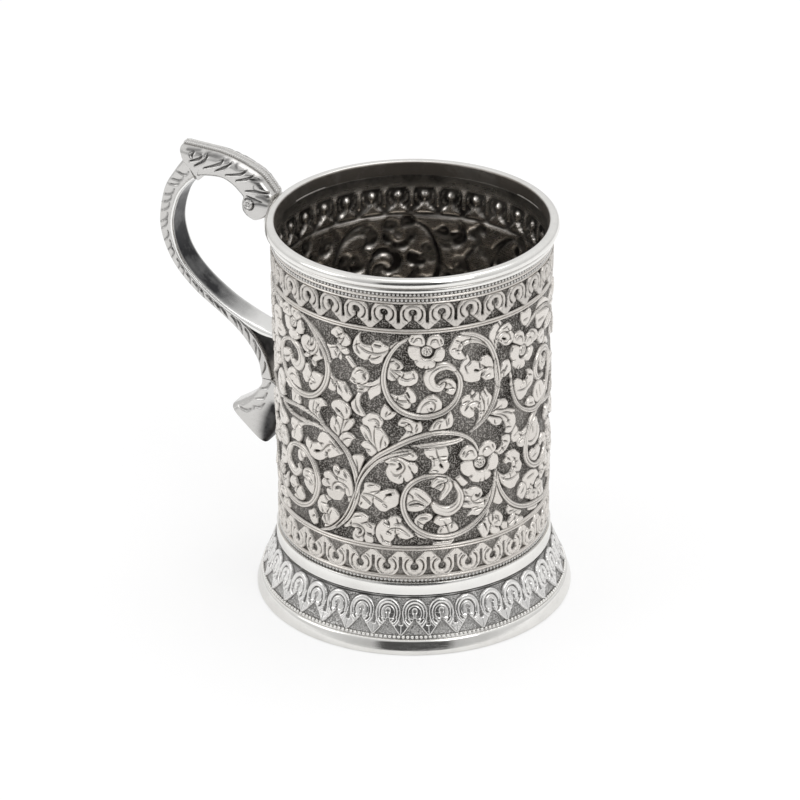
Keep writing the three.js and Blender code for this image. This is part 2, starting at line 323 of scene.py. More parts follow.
class Panel:
    """A drawing in relief on a flat grid, whose columns may close on themselves."""

    groove_depth, groove_spread = 0.36, 0.28  # of a stem, as shares of its crest and half-width
    vein_start, vein_fade, vein_spread = (0.02, 0.2), (1.5, 1.6), 0.5
    buried, stroke_crease = 0.3, 0.75  # what stays of a form under a stroke, and goes from one beside it
    leaf_edge, leaf_roll, leaf_crown, crown_reach = 0.40, 0.42, 0.10, 20.0
    leaf_tilt, tilt_reach, tilt_turn = 0.32, 34.0, 0.11
    hollow_floor, hollow_wall, hollow_lip = 0.26, 0.7, (0.7, 1.3)
    cut_ends = (0.06, 0.94)
    leaf_floor, leaf_crease = 0.05, 0.62

    def __init__(self, left: float, top: float, width: float, depth: float, columns: int, rows: int,
                 wraps: bool, moat: float) -> None:
        """Starts a bare panel.

        Args:
            left: First column's place across.
            top: First row's place down.
            width: Extent across.
            depth: Extent down.
            columns: Grid columns.
            rows: Grid rows.
            wraps: Whether the columns close on themselves.
            moat: Width of the crease that a form presses into what lies under it.
        """
        self.left, self.top, self.width = left, top, width
        self.columns, self.rows, self.wraps, self.moat = columns, rows, wraps, moat
        self.across = left + np.arange(columns) * width / (columns if wraps else columns - 1)
        self.down = top + np.arange(rows) * depth / (rows - 1)
        self.height = np.zeros((rows, columns))

    def windows(self, path: np.ndarray, reach: float) -> Iterator[Window]:
        """Finds the parts of the grid near a path, and again past each edge where the panel closes.

        Args:
            path: The path.
            reach: How far from the path a part extends.

        Yields:
            The path's shift, the part's rows and columns, and its places across and down.
        """
        for shift in (-self.width, 0.0, self.width) if self.wraps else (0.0,):
            low = path.min(axis=0) - reach + (shift, 0.0)
            high = path.max(axis=0) + reach + (shift, 0.0)
            columns = slice(*np.searchsorted(self.across, [low[0], high[0]]))
            rows = slice(*np.searchsorted(self.down, [low[1], high[1]]))
            if columns.start < columns.stop and rows.start < rows.stop:
                across, down = np.meshgrid(self.across[columns], self.down[rows])
                yield np.array([shift, 0.0]), (rows, columns), across, down

    @staticmethod
    def measure(stroke: Stroke, shift: np.ndarray, across: np.ndarray, down: np.ndarray) -> np.ndarray:
        """Measures a grid against a stroke.

        Args:
            stroke: The stroke.
            shift: How far it is moved.
            across: Places across.
            down: Places down.

        Returns:
            Four grids: distance as a share of the half-width, half-width, crest and share along.
        """
        best = np.stack([np.full(across.shape, np.inf), *np.zeros((3, *across.shape))])
        path, wide, high = stroke.path + shift, stroke.half_width, stroke.crest
        last = len(path) - 1
        for index in range(last):
            share, gap = from_stretch(across, down, path[index], path[index + 1] - path[index])
            half = wide[index] + (wide[index + 1] - wide[index]) * share
            crest = high[index] + (high[index + 1] - high[index]) * share
            found = np.stack([gap / np.maximum(half, 1e-6), half, crest, (index + share) / last])
            best = np.where(found[0] < best[0], found, best)
        return best

    def draw(self, stroke: Stroke) -> None:
        """Raises a stroke, or sinks it to its crest.

        Args:
            stroke: The stroke.
        """
        reach = float(stroke.half_width.max()) + 3 * self.moat
        for shift, part, across, down in self.windows(stroke.path, reach):
            under = self.height[part]
            nearest, width, crest, along = self.measure(stroke, shift, across, down)
            if stroke.sunk:
                self.height[part] = np.where(nearest < 1.0, np.minimum(under, crest), under)
                continue
            inside = np.clip(nearest, 0.0, 1.0)
            form = crest * np.sqrt(np.clip(1.0 - inside ** stroke.fullness, 0.0, 1.0))
            if stroke.grooved:
                form -= self.groove_depth * crest * bell(inside, self.groove_spread)
            if stroke.vein > 0:
                most, fall = self.vein_fade
                fade = smooth_step(*self.vein_start, along) * np.clip(most - fall * along, 0.0, 1.0)
                form -= stroke.vein * fade * bell(nearest * width, self.vein_spread * self.moat)
            form = np.maximum(form, self.buried * under)
            crease = self.stroke_crease * bell(np.maximum(nearest - 1.0, 0.0) * width, self.moat)
            self.height[part] = np.where(nearest < 1.0, form, under * (1 - crease))

    def press(self, stroke: Stroke) -> None:
        """Presses a soft-edged line, as deep as its crest.

        Args:
            stroke: The line.
        """
        for shift, part, across, down in self.windows(stroke.path, 2.4 * float(stroke.half_width.max())):
            ratio, _, crest, _ = self.measure(stroke, shift, across, down)
            self.height[part] = np.maximum(self.height[part], crest * bell(ratio))

    def chase(self, leaf: "Leaf") -> None:
        """Raises a leaf inside its outline, then cuts its lines and hollows.

        Args:
            leaf: The leaf.
        """
        for shift, part, across, down in self.windows(leaf.edge, 3 * self.moat):
            edge = leaf.edge + shift
            gap = np.full(across.shape, np.inf)
            inside = np.zeros(across.shape, dtype=bool)
            for start, end in zip(edge, np.roll(edge, -1, axis=0)):
                step = end - start
                gap = np.minimum(gap, from_stretch(across, down, start, step)[1])
                if step[1] != 0.0:
                    crossed = (start[1] > down) != (end[1] > down)
                    inside ^= crossed & (across < start[0] + step[0] * (down - start[1]) / step[1])
            roll = dome(1.0 - np.clip(gap / leaf.rounding, 0.0, 1.0))
            crown = self.leaf_crown * np.clip(gap / self.crown_reach, 0.0, 1.0)
            form = self.leaf_edge + self.leaf_roll * roll + crown
            middle, lean = edge.mean(axis=0), self.tilt_turn * leaf.edge.mean()
            slant = (across - middle[0]) * math.cos(lean) + (down - middle[1]) * math.sin(lean)
            form += self.leaf_tilt * np.clip(slant / self.tilt_reach, -1.0, 1.0) * roll
            for line in leaf.cuts:
                ratio, _, deep, along = self.measure(line, shift, across, down)
                form -= deep * bell(ratio) * np.sin(math.pi * np.clip(along, *self.cut_ends)) ** 0.5
            for hollow in leaf.hollows:
                ratio = self.measure(hollow, shift, across, down)[0]
                bowl = self.hollow_floor + self.hollow_wall * smooth_step(*self.hollow_lip, ratio)
                form = np.where(ratio < self.hollow_lip[1], np.minimum(form, bowl), form)
            form = np.maximum(form, self.leaf_floor)
            crease = self.leaf_crease * bell(gap, self.moat)
            self.height[part] = np.where(inside, form, self.height[part] * (1 - crease))

    def sample(self, across: np.ndarray, down: np.ndarray, values: np.ndarray | None = None) -> np.ndarray:
        """Reads the drawing at any places, with nothing outside it.

        Args:
            across: Places across.
            down: Places down.
            values: Another grid of this panel's shape to read instead of its heights.

        Returns:
            The heights there.
        """
        grid = self.height if values is None else values
        column = (across - self.left) / (self.across[1] - self.across[0])
        row = (down - self.top) / (self.down[1] - self.down[0])
        outside = (row < 0) | (row > self.rows - 1)
        if not self.wraps:
            outside |= (column < 0) | (column > self.columns - 1)
        row = np.clip(row, 0, self.rows - 1.001)
        column = np.mod(column, self.columns) if self.wraps else np.clip(column, 0, self.columns - 1.001)
        row0, column0 = row.astype(int), column.astype(int)
        row_share, column_share = row - row0, column - column0
        column1 = (column0 + 1) % self.columns
        column0 = column0 % self.columns
        upper = grid[row0, column0] * (1 - column_share) + grid[row0, column1] * column_share
        lower = grid[row0 + 1, column0] * (1 - column_share) + grid[row0 + 1, column1] * column_share
        return np.where(outside, 0.0, upper * (1 - row_share) + lower * row_share)


def turned_by(degrees: float) -> np.ndarray:
    """Gives the matrix that turns rows of places on a drawing."""
    lean = math.radians(degrees)
    return np.array([[math.cos(lean), math.sin(lean)], [-math.sin(lean), math.cos(lean)]])


def places(listed: str) -> list[tuple[float, ...]]:
    """Reads places written as numbers joined by commas, with a space between two places."""
    return [tuple(float(number) for number in place.split(",")) for place in listed.split()]


def lines_of(listed: str) -> list[list[tuple[float, ...]]]:
    """Reads lines of places, with a semicolon between two lines."""
    return [places(line) for line in listed.split(";") if line.strip()]


class Leaf:
    """A chased leaf: its outline, the lines cut into it and the hollows of its curls."""

    rounding = 4.0
    edge_steps, edge_ease = 3, 0.5
    cut_half, cut_depth, hollow_half = 2.7, 0.56, 3.0
    notch_bend, crease_depth = -0.5, 0.6
    crease = ((0.0, 0.0, 3.0), (10.0, 1.2, 2.2), (20.0, 5.0, 1.2))  # reach, sway and half-width

    def __init__(self, outline: str, cuts: str = "", hollows: str = "", creased: bool = True) -> None:
        """Draws the leaf.

        Args:
            outline: Places round its edge.
            cuts: Places along each line.
            hollows: Places along each hollow, with its half-width.
            creased: Whether its notches run on inwards as creases.
        """
        corners = places(outline)
        round_again = [corners[-1], *corners, corners[0], corners[1]]
        first, last = self.edge_steps, self.edge_steps * (len(corners) + 1)
        self.edge = through(round_again, self.edge_steps, self.edge_ease)[first:last]
        self.cuts = [self.line(stations, self.cut_depth, self.cut_half) for stations in lines_of(cuts)]
        self.hollows = [self.line(stations, 0.0, self.hollow_half) for stations in lines_of(hollows)]
        if creased:
            self.crease_notches(np.array(corners))

    def crease_notches(self, corners: np.ndarray) -> None:
        """Cuts a short crease inwards from every notch of the outline.

        Args:
            corners: Places round the edge.
        """
        x, y = corners.T
        area_sign = np.sign(np.sum(x * np.roll(y, -1) - np.roll(x, -1) * y))
        before, after = np.roll(corners, 1, axis=0) - corners, np.roll(corners, -1, axis=0) - corners
        for corner, back, ahead in zip(corners, before, after):
            back, ahead = back / np.hypot(*back), ahead / np.hypot(*ahead)
            if (ahead[0] * back[1] - ahead[1] * back[0]) * area_sign > self.notch_bend:
                continue
            inwards = -(back + ahead)
            inwards = inwards / max(np.hypot(*inwards), 1e-6)
            aside = np.array([-inwards[1], inwards[0]])
            stations = [(*(corner + inwards * reach + aside * sway), half)
                        for reach, sway, half in self.crease]
            self.cuts.append(self.line(stations, self.crease_depth))

    @staticmethod
    def line(stations: Sequence[tuple[float, ...]], deep: float, half_width: float = 1.0) -> Stroke:
        """Runs a stroke through stations.

        Args:
            stations: Places, each with a half-width of its own or none.
            deep: How deep the stroke is cut.
            half_width: The half-width where a station gives none.

        Returns:
            The stroke.
        """
        path = through([place[:2] for place in stations], 4)
        given = [place[2] if len(place) > 2 else half_width for place in stations]
        width = np.interp(np.linspace(0, 1, len(path)), np.linspace(0, 1, len(given)), given)
        return Stroke(path, width, np.full(len(path), deep))

    def moved(self, across: float, down: float, size: float = 1.0, turn: float = 0.0) -> "Leaf":
        """Makes the same leaf somewhere else.

        Args:
            across: Where its middle goes across.
            down: Where its middle goes down.
            size: How much larger it becomes.
            turn: How far it turns, in degrees.

        Returns:
            The new leaf.
        """
        fresh = copy.copy(self)
        middle, shift = self.edge.mean(axis=0), np.array([across, down])
        spin = size * turned_by(turn)
        fresh.edge = (self.edge - middle) @ spin + shift
        fresh.cuts = [replace(line, path=(line.path - middle) @ spin + shift) for line in self.cuts]
        fresh.hollows = [replace(line, path=(line.path - middle) @ spin + shift) for line in self.hollows]
        return fresh

    def draw_on(self, panel: Panel) -> None:
        """Chases the leaf on a panel."""
        panel.chase(self)


@dataclass(frozen=True)
class Stem:
    """A stem with a groove down its middle and slender ends."""

    stations: Sequence[Point]
    start_width: float
    end_width: float

    slimness, crest, fullness = 0.58, 0.98, 7.0
    taper = ((0.0, 0.1, 0.35, 0.65, 0.9, 1.0), (0.25, 0.66, 1.1, 1.16, 0.95, 0.55))

    def draw_on(self, panel: Panel) -> None:
        """Draws the stem as one grooved stroke.

        Args:
            panel: The drawing.
        """
        path = through(self.stations, 6)
        share = np.linspace(0.0, 1.0, len(path))
        width = (self.start_width + (self.end_width - self.start_width) * share) * self.slimness
        width *= np.interp(share, *self.taper)
        panel.draw(Stroke(path, width, np.full(len(path), self.crest), grooved=True, fullness=self.fullness))


@dataclass(frozen=True)
class Crescent:
    """A thick band that ends a spiral, with its half-width given at each station."""

    stations: Sequence[tuple[float, float, float]]

    swell, crest, vein = 1.2, 0.96, 0.32

    def draw_on(self, panel: Panel) -> None:
        """Draws the band with one vein down its middle.

        Args:
            panel: The drawing.
        """
        line = np.asarray(self.stations, dtype=float)
        path = through(line[:, :2], 6)
        width = np.interp(np.linspace(0, 1, len(path)), np.linspace(0, 1, len(line)), line[:, 2])
        panel.draw(Stroke(path, self.swell * width, np.full(len(path), self.crest), vein=self.vein))


@dataclass(frozen=True)
class Flower:
    """An open flower: two rolled petals behind a cup of three, and a punched boss."""

    centre: Point
    size: float
    lean: float

    drawn_about = (852.0, 628.0)
    rolled = ("843,604 839,584 826,566 808,562 790,572 782,590 790,606 812,614 832,612",
              "800,594 812,582 826,584 830,596; 792,590 800,578")
    facing = ("847,604 850,578 864,564 886,562 902,574 908,592 900,608 878,615 860,612",
              "890,596 880,582 866,584 860,598; 898,590 892,576")
    cup = ("788,618 802,612 826,616 831,634 838,650 852,656 868,653 878,640 884,618 900,608 914,618"
           " 917,640 908,660 890,664 886,682 866,692 842,692 822,684 812,668 796,656 787,638",
           "803,676 813,669 823,662; 898,671 888,665 878,658; 846,702 849,691 851,680;"
           " 869,702 866,691 863,680")
    boss, boss_crest, boss_fullness = 20, 0.9, 3.0
    pits, pit_ring, pit, pit_floor = 7, 11.0, 3.6, 0.45

    def draw_on(self, panel: Panel) -> None:
        """Draws the petals, then the boss over them with a ring of pits round one more.

        Args:
            panel: The drawing.
        """
        spin = self.size * turned_by(self.lean)
        for petal in (Leaf(*self.rolled), Leaf(*self.facing), Leaf(*self.cup, creased=False)):
            place = np.array(self.centre) + (petal.edge.mean(axis=0) - self.drawn_about) @ spin
            petal.moved(*place, self.size, self.lean).draw_on(panel)
        middle = np.array([self.centre, self.centre], dtype=float) + np.array([[0, 0], [0.01, 0.0]])
        panel.draw(Stroke(middle, np.full(2, self.size * self.boss), np.full(2, self.boss_crest),
                          fullness=self.boss_fullness))
        turn = 2 * math.pi * np.arange(self.pits) / self.pits
        ring = self.size * self.pit_ring * np.stack([np.cos(turn), np.sin(turn)], axis=-1)
        for off in (*ring, np.zeros(2)):
            panel.draw(Stroke(middle + off, np.full(2, self.size * self.pit), np.full(2, self.pit_floor),
                              sunk=True))


# Leaves of the foliage, a blank line between two: places round the edge, then after each bar the
# lines cut into the leaf and the hollows of its curls, whose places carry a half-width.
UPPER_LEFT_SPIRAL = """
300,203 318,212 333,236 345,262 355,288 352,303 338,312 328,322 326,335 316,328 312,316 318,304 308,306
300,315 287,318 280,311 288,303 276,296 267,284 265,270 274,258 290,252 306,254 318,248 312,226 | 326,250
327,272 316,290 300,293 286,284; 336,262 334,284 318,302; 302,262 296,274 302,282 | 317,254,4 316,266,5
307,275,4

372,250 390,250 404,246 412,236 411,224 402,216 393,214 393,203 402,193 415,187 428,193 431,202 443,207
453,220 452,233 440,242 428,243 443,248 448,258 440,270 430,267 418,260 424,274 422,288 412,283 403,285
396,291 386,286 379,270 | 418,244 430,224 436,210; 414,252 400,254 385,260; 424,253 440,248; 400,262
408,278; 414,236 418,216 412,200

437,276 450,272 462,286 473,302 462,309 452,296 444,284

376,326 388,348 408,362 430,362 442,376 454,398 446,414 437,423 426,416 418,406 408,402 403,390 398,398
386,400 374,394 372,380 379,362 374,344 | 390,356 410,372 424,392; 387,362 400,378 404,392; 430,366
442,390

272,356 282,346 296,346 302,356 308,366 314,360 330,359 352,362 347,386 330,410 310,420 297,412 292,402
282,406 271,396 266,378 | 294,384 310,393 328,388; 307,366 312,378 324,383; 298,404 312,398

176,440 184,416 194,398 208,387 230,390 238,404 247,424 252,446 226,456 196,456 | 200,416 214,406 234,410;
198,442 214,428

154,352 172,336 198,332 206,346 194,366 176,382 158,376 | 160,368 180,361 198,350

92,196 120,186 150,192 168,206 150,214 126,216 104,214 | 108,204 140,202

84,244 104,226 128,224 140,240 136,262 150,276 166,286 158,304 132,310 108,300 92,280 | 100,250 122,252
132,276; 118,292 140,292
"""

LEFT_BRANCH = """
318,506 302,498 293,486 296,466 308,450 324,446 343,443 360,449 364,460 350,465 340,474 336,488 342,502
356,520 346,526 332,514 | 320,504 312,482 318,458; 328,500 325,478 338,460

408,552 392,540 380,520 382,496 392,482 400,488 406,478 398,466 388,458 387,446 397,433 416,426 437,432
449,446 450,464 444,478 456,476 461,486 453,503 438,518 424,532 414,548 | 410,546 416,520 424,496 428,476;
428,478 420,464 406,456; 400,490 410,504 412,524; 446,480 434,494 426,512; 394,514 402,530; 436,444
440,460 | 405,456,3 413,463,4

412,552 424,533 440,526 454,530 463,540 452,552 446,566 430,580 | 424,556 438,546 452,544

330,545 300,548 268,556 252,570 256,592 252,608 244,618 226,617 208,619 202,606 208,592 198,578 199,562
216,556 246,556 276,546 306,540 | 222,608 224,584 238,566; 208,574 220,584

418,600 400,587 384,570 367,557 347,555 337,560 331,572 326,584 331,591 320,596 306,600 296,597 287,589
280,603 283,616 294,626 304,638 321,645 341,643 357,633 363,625 374,625 391,617 407,607 | 408,600 382,584
364,590 346,610 326,620; 352,588 336,592; 376,598 366,606 364,622; 390,590 372,574 | 322,619,4 336,614,3;
360,612,3 366,620,3

204,462 220,458 240,462 250,478 248,494 230,498 210,494 | 222,488 228,472

104,440 126,428 148,436 156,456 146,478 158,496 140,506 116,498 98,480 96,458 | 112,454 132,462 140,486

96,566 120,558 150,566 170,582 152,600 128,604 106,592 | 110,576 140,582
"""

LOWER_LEFT_RING = """
232,656 240,648 262,646 276,656 268,664 258,668 254,680 242,685 232,676 |  | 255,664,3 259,671,3

310,706 300,698 282,697 268,702 258,714 256,728 262,736 260,748 268,760 282,768 296,774 306,768 308,740 |
264,731 280,722 296,726 301,740 288,746; 272,710 290,706 304,714 | 289,734,3 294,740,3

196,820 208,808 200,798 188,794 178,784 184,770 198,756 214,752 222,762 230,774 244,774 254,786 258,802
246,816 226,824 | 214,812 216,796 230,778; 190,788 206,786

278,842 290,834 302,826 312,836 318,850 318,866 306,874 292,868 284,856 | 297,851 309,843

110,700 126,690 148,696 156,714 148,734 126,742 108,730 102,714 | 116,716 140,714
"""

TRUNK = """
444,800 448,760 450,710 444,674 434,660 423,655 411,660 401,651 390,653 388,669 396,683 384,677 373,675
358,681 355,693 361,703 352,704 346,714 349,727 362,731 362,744 370,757 390,762 410,757 419,742 424,732
432,742 436,770 436,796 | 440,742 434,712 418,701 398,703 386,715 384,732; 432,690 412,687 396,683;
360,705 376,700; 364,733 380,729; 396,664 410,672; 424,662 434,680 | 418,722,5 408,718,7 398,722,5

348,868 352,852 340,838 346,824 333,820 325,806 323,792 330,777 344,767 360,765 373,774 362,780 358,791
366,800 376,796 392,800 402,812 400,826 388,840 372,856 | 360,852 352,826 340,804; 364,846 364,824
357,806; 370,842 369,820 376,804

470,742 482,728 494,708 496,688 520,684 543,692 541,706 552,702 564,697 584,697 597,713 597,733 587,748
570,757 557,767 540,766 527,754 520,744 514,756 503,768 484,767 471,754 | 488,721 520,722 558,739; 486,726
506,740 517,750; 510,716 538,706; 553,726 566,712 582,705; 562,750 550,741; 506,694 526,692; 482,758
488,748 | 560,715,3 572,713,3

456,602 470,596 486,594 494,604 484,630 476,662 470,688 462,650 | 470,610 472,640

424,838 440,818 452,800 462,793 482,790 503,800 500,816 523,822 520,836 523,848 513,858 516,872 509,885
496,884 487,872 482,886 463,884 453,870 456,852 462,842 450,838 436,846 | 446,830 470,827 487,838 489,856
476,867 464,862; 460,806 484,800; 496,818 512,832; 498,852 510,852 | 471,839,3 480,846,4 475,855,3
"""

RIGHT_BRANCH = """
536,572 520,556 503,538 489,516 484,502 494,492 491,478 500,463 517,453 537,453 550,466 552,480 546,494
556,506 566,520 569,536 562,550 548,560 542,572 | 536,566 528,540 526,512 530,490; 530,491 540,480 530,470
512,474; 524,556 510,534 499,514; 520,532 514,508 506,494; 544,556 546,534 553,514; 556,530 560,544 |
534,480,3 540,487,3

536,598 516,590 504,578 496,566 485,556 494,546 508,544 520,552 530,566 | 498,567 514,570

600,532 616,512 624,498 618,486 602,480 602,470 613,457 630,457 644,466 654,472 663,468 670,486 666,500
648,508 626,524 | 634,510 640,489 628,472 611,469; 650,504 656,484 | 606,484,4 615,493,4

694,496 704,478 716,466 732,462 742,466 748,452 754,442 762,456 764,476 758,492 736,496 | 706,490 716,472
730,468; 722,492 728,476; 750,462 750,480

560,584 580,572 604,562 632,560 644,570 654,586 644,596 626,594 606,588 584,586 |  | 598,576,3 620,571,5
640,578,4

540,608 556,594 574,588 594,587 612,594 628,603 646,606 654,618 652,634 643,640 634,630 640,652 630,667
617,663 613,650 611,668 597,672 577,664 566,648 564,630 572,612 560,606 548,614 | 556,601 588,595 610,605
617,622 606,640 590,644 579,634; 626,612 634,628; 600,652 608,644 | 602,607,3 606,618,4 597,626,4

640,552 664,556 680,562 679,574 686,586 699,596 700,612 696,624 690,634 712,640 732,640 744,630 751,614
744,600 748,584 744,566 738,556 720,552 690,550 664,548 | 712,560 716,584 727,610; 720,588 746,590;
706,608 704,588 692,583; 700,626 716,628 | 723,610,3 728,618,3
"""

LOWER_SPIRAL = """
640,850 618,860 600,856 588,846 584,858 574,870 580,886 557,883 540,870 531,850 532,832 538,816 551,803
566,802 574,793 590,787 603,794 604,810 618,826 | 626,847 600,828 576,828 564,839; 598,842 588,849;
562,804 572,819; 590,796 596,814; 546,846 554,866 | 566,838,3 575,842,2; 556,811,2 567,817,3

612,712 624,692 640,690 660,694 680,706 694,724 694,738 680,748 672,758 650,764 628,762 616,752 612,734 |
622,704 640,716 644,728; 626,741 650,730 678,743; 650,706 668,722 686,738 | 634,744,3 654,739,4 672,745,2

700,666 724,660 744,668 754,684 752,702 742,716 730,722 728,706 718,696 706,690 702,678 | 714,690 727,683
724,671

692,800 700,790 696,782 680,778 664,782 650,794 646,812 648,834 658,850 676,856 690,856 678,844 672,830
674,814 684,804 | 662,793 684,791; 656,800 660,816

718,852 718,836 726,822 714,814 706,806 712,792 728,784 744,784 756,796 762,812 772,820 780,836 764,848
740,852 | 752,845 744,822 735,806; 757,828 763,812; 724,840 732,826; 722,796 738,794

706,888 708,876 730,874 754,872 768,868 760,880 750,888

774,668 788,660 800,672 812,686 798,696 786,690
"""

MIDDLE_SPIRAL = """
600,208 584,222 570,240 556,258 550,272 537,280 520,278 512,269 502,272 487,266 473,252 468,236 472,216
480,200 493,188 490,204 494,220 507,226 520,226 524,218 534,210 546,210 556,219 571,225 588,210 | 568,236
540,247 510,243 490,228; 514,264 532,263 549,252; 482,214 480,236 490,252 | 531,222,3 546,224,4

546,318 536,334 520,346 506,348 511,334 508,315 491,305 474,308 463,322 460,336 454,347 464,355 474,360
478,370 475,381 493,382 506,375 514,400 527,388 541,378 546,356 | 541,346 520,359 492,359 470,347; 461,337
475,345; 484,372 500,366; 474,322 486,314 500,318 | 503,318,3 497,328,5 501,337,3

476,388 492,387 486,400 482,414 484,428 492,442 498,454 489,460 470,455 457,441 454,424 466,410 | 470,408
470,428 482,448

573,270 582,264 596,267 611,277 617,290 608,300 618,305 633,302 644,296 654,304 657,318 653,334 637,344
620,347 604,340 597,330 584,333 571,327 568,310 571,292 | 582,296 600,313 624,325 642,317; 580,306 592,322
601,334; 580,276 594,272; 640,304 646,318 | 596,278,3 604,287,4 600,294,3

564,360 580,377 600,383 617,377 626,354 641,364 651,384 650,400 637,407 633,418 619,425 603,419 590,406
576,388 | 580,386 604,397 634,396; 590,400 614,411 | 625,372,3 631,386,3

656,446 660,420 671,400 687,387 704,383 720,393 729,411 726,432 714,446 684,448 | 666,440 676,414 694,402
708,412 707,430 694,437 687,425; 690,394 712,400 | 697,424,3 700,429,3

548,452 550,432 560,414 572,424 580,436 594,438 588,450 576,460 560,463 | 562,450 568,436

718,350 728,340 744,334 762,338 772,352 774,372 764,386 752,382 742,374 750,366 738,362 726,356 | 734,350
752,350 764,366
"""

UPPER_RIGHT_BRANCH = """
902,330 903,350 884,357 864,355 853,344 846,352 823,353 803,344 792,328 790,312 796,292 807,273 814,267
818,278 823,289 836,291 848,296 856,286 876,283 890,297 897,316 | 901,329 876,318 850,322 836,320; 870,320
852,305; 864,326 851,340; 806,300 812,320; 880,338 866,342 | 835,318,4 845,322,3

884,252 868,234 846,216 820,206 794,202 776,204 764,222 757,240 762,256 772,267 788,272 806,270 800,258
793,246 800,235 818,229 842,234 864,248 880,264 | 868,245 840,225 810,218 788,228 782,250; 765,240
778,236; 777,214 790,221

902,300 896,270 889,240 887,220 891,206 901,195 916,190 920,183 928,192 926,206 938,204 954,201 963,212
962,226 970,238 967,256 950,266 932,262 922,250 912,252 908,290 | 903,284 905,242 915,214 927,202; 910,234
930,222 950,229 956,246 942,256 930,248; 948,214 956,226 | 916,240,4 918,252,5; 930,240,3 938,244,4;
932,214,2 946,211,3

926,362 928,342 932,326 944,320 958,322 964,338 964,356 950,362 936,368 | 938,350 950,334

818,516 836,500 846,478 848,458 842,446 834,450 834,460 830,468 816,470 798,458 791,438 797,422 796,408
806,402 822,400 828,387 838,398 852,402 862,398 868,387 874,402 887,416 890,430 881,447 870,464 856,482
838,504 | 856,478 864,446 858,418 851,402; 850,472 852,440 840,425 816,429 805,442; 799,424 817,418;
875,448 876,424; 822,410 832,404 | 834,442,3 840,450,4

892,478 902,462 914,440 930,444 944,446 952,458 946,472 926,478 906,482 | 904,472 928,460

894,482 912,474 936,480 960,484 982,494 976,502 984,516 987,537 977,557 961,561 947,554 950,540 942,520
926,500 908,490 | 904,484 930,492 952,510 963,534; 930,486 962,495; 951,522 963,520

878,490 892,488 906,494 922,500 931,510 922,521 906,520 892,510 | 903,500 906,514
"""

RIGHT_FLOWERS = """
1012,186 1030,190 1050,186 1056,204 1050,222 1036,236 1020,226 1012,208 | 1022,214 1040,212

1094,216 1108,196 1140,190 1170,206 1196,236 1180,250 1150,262 1120,276 1102,268 1098,244 | 1104,224
1140,226 1178,240; 1110,250 1142,250

1050,268 1068,262 1088,270 1098,286 1092,302 1072,306 1056,296 | 1062,286 1078,278 1088,290

1104,300 1118,292 1136,290 1150,300 1152,320 1140,334 1120,330 1108,316 | 1118,312 1138,310

984,402 1000,398 1012,404 1022,414 1036,416 1044,404 1040,388 1056,390 1070,404 1076,424 1068,444 1048,452
1040,462 1020,470 1006,466 996,450 988,428 | 998,434 1030,441 1058,431; 1024,421 1027,408

1040,500 1052,486 1068,484 1082,496 1090,512 1096,524 1076,524 1056,516 | 1056,502 1078,508

1086,484 1096,460 1114,452 1136,462 1148,484 1150,508 1132,520 1106,518 1092,504 | 1118,468 1123,498;
1102,478 1108,500

906,604 918,604 930,598 936,584 934,572 950,568 964,574 966,592 956,606 940,618 920,620 | 918,612 946,601

976,586 982,566 992,552 1000,560 1004,574 1020,582 1036,578 1050,572 1046,590 1038,606 1034,622 1018,630
1004,622 998,606 984,602 | 1004,580 1020,595 1038,590; 1005,612 1022,602

1052,606 1058,586 1070,570 1082,560 1096,566 1104,584 1116,602 1122,622 1118,642 1096,652 1072,648
1054,636 | 1056,626 1080,635 1103,622 1100,594; 1076,586 1080,608

1064,672 1084,666 1096,672 1110,668 1128,672 1138,690 1128,706 1104,714 1080,706 1068,692 | 1078,690
1104,690

1132,660 1146,644 1166,650 1172,668 1160,680 1150,672 1142,680 1132,676 | 1144,664 1158,660

906,710 898,744 886,770 870,790 856,802 840,801 828,796 812,798 820,784 828,776 806,770 793,761 804,752
800,742 806,734 798,722 800,712 814,714 826,710 842,710 856,720 860,736 852,750 866,752 884,740 896,720 |
886,752 860,763 838,761 825,746 832,731; 806,748 826,757; 834,783 860,780; 805,716 815,730 | 838,735,3
846,742,4 850,734,3

914,668 928,684 947,697 966,697 977,684 974,671 960,664 947,664 943,653 953,646 954,636 967,631 987,633
997,643 1010,656 1010,672 1020,690 1016,704 1007,713 1010,730 997,740 987,750 966,748 947,734 930,714 |
924,690 950,711 980,717 1006,710; 968,702 989,688 990,666 973,651; 1002,674 990,677 | 958,669,4 968,680,5
960,690,4

912,712 920,730 930,752 940,776 934,788 924,790 912,784 904,776 910,744

884,790 878,820 868,836 854,842 850,850 858,868 866,884 880,878 888,866 894,878 912,886 924,876 922,866
932,854 936,838 926,822 912,812 900,820 892,816 | 886,808 888,838 900,857; 873,842 880,864; 902,826
918,832 918,846 904,848 | 908,832,3 914,838,2

958,826 962,812 974,806 990,812 1004,824 1020,832 1016,848 1004,858 1004,872 984,886 960,888 944,880
936,866 946,856 962,862 970,850 980,842 966,842 | 965,832 986,834; 962,875 984,863 993,845

1006,790 1010,768 1022,758 1040,760 1050,776 1044,796 1030,812 1016,804 | 1020,790 1032,772

1030,752 1048,740 1076,738 1104,748 1118,770 1098,776 1082,790 1078,812 1062,824 1046,812 1052,790
1046,768 | 1054,756 1088,754; 1057,804 1067,780

1104,806 1118,790 1140,792 1152,808 1144,824 1120,828 | 1118,810 1138,808
"""

LEAVES = (UPPER_LEFT_SPIRAL, LEFT_BRANCH, LOWER_LEFT_RING, TRUNK, RIGHT_BRANCH, LOWER_SPIRAL,
          MIDDLE_SPIRAL, UPPER_RIGHT_BRANCH, RIGHT_FLOWERS)

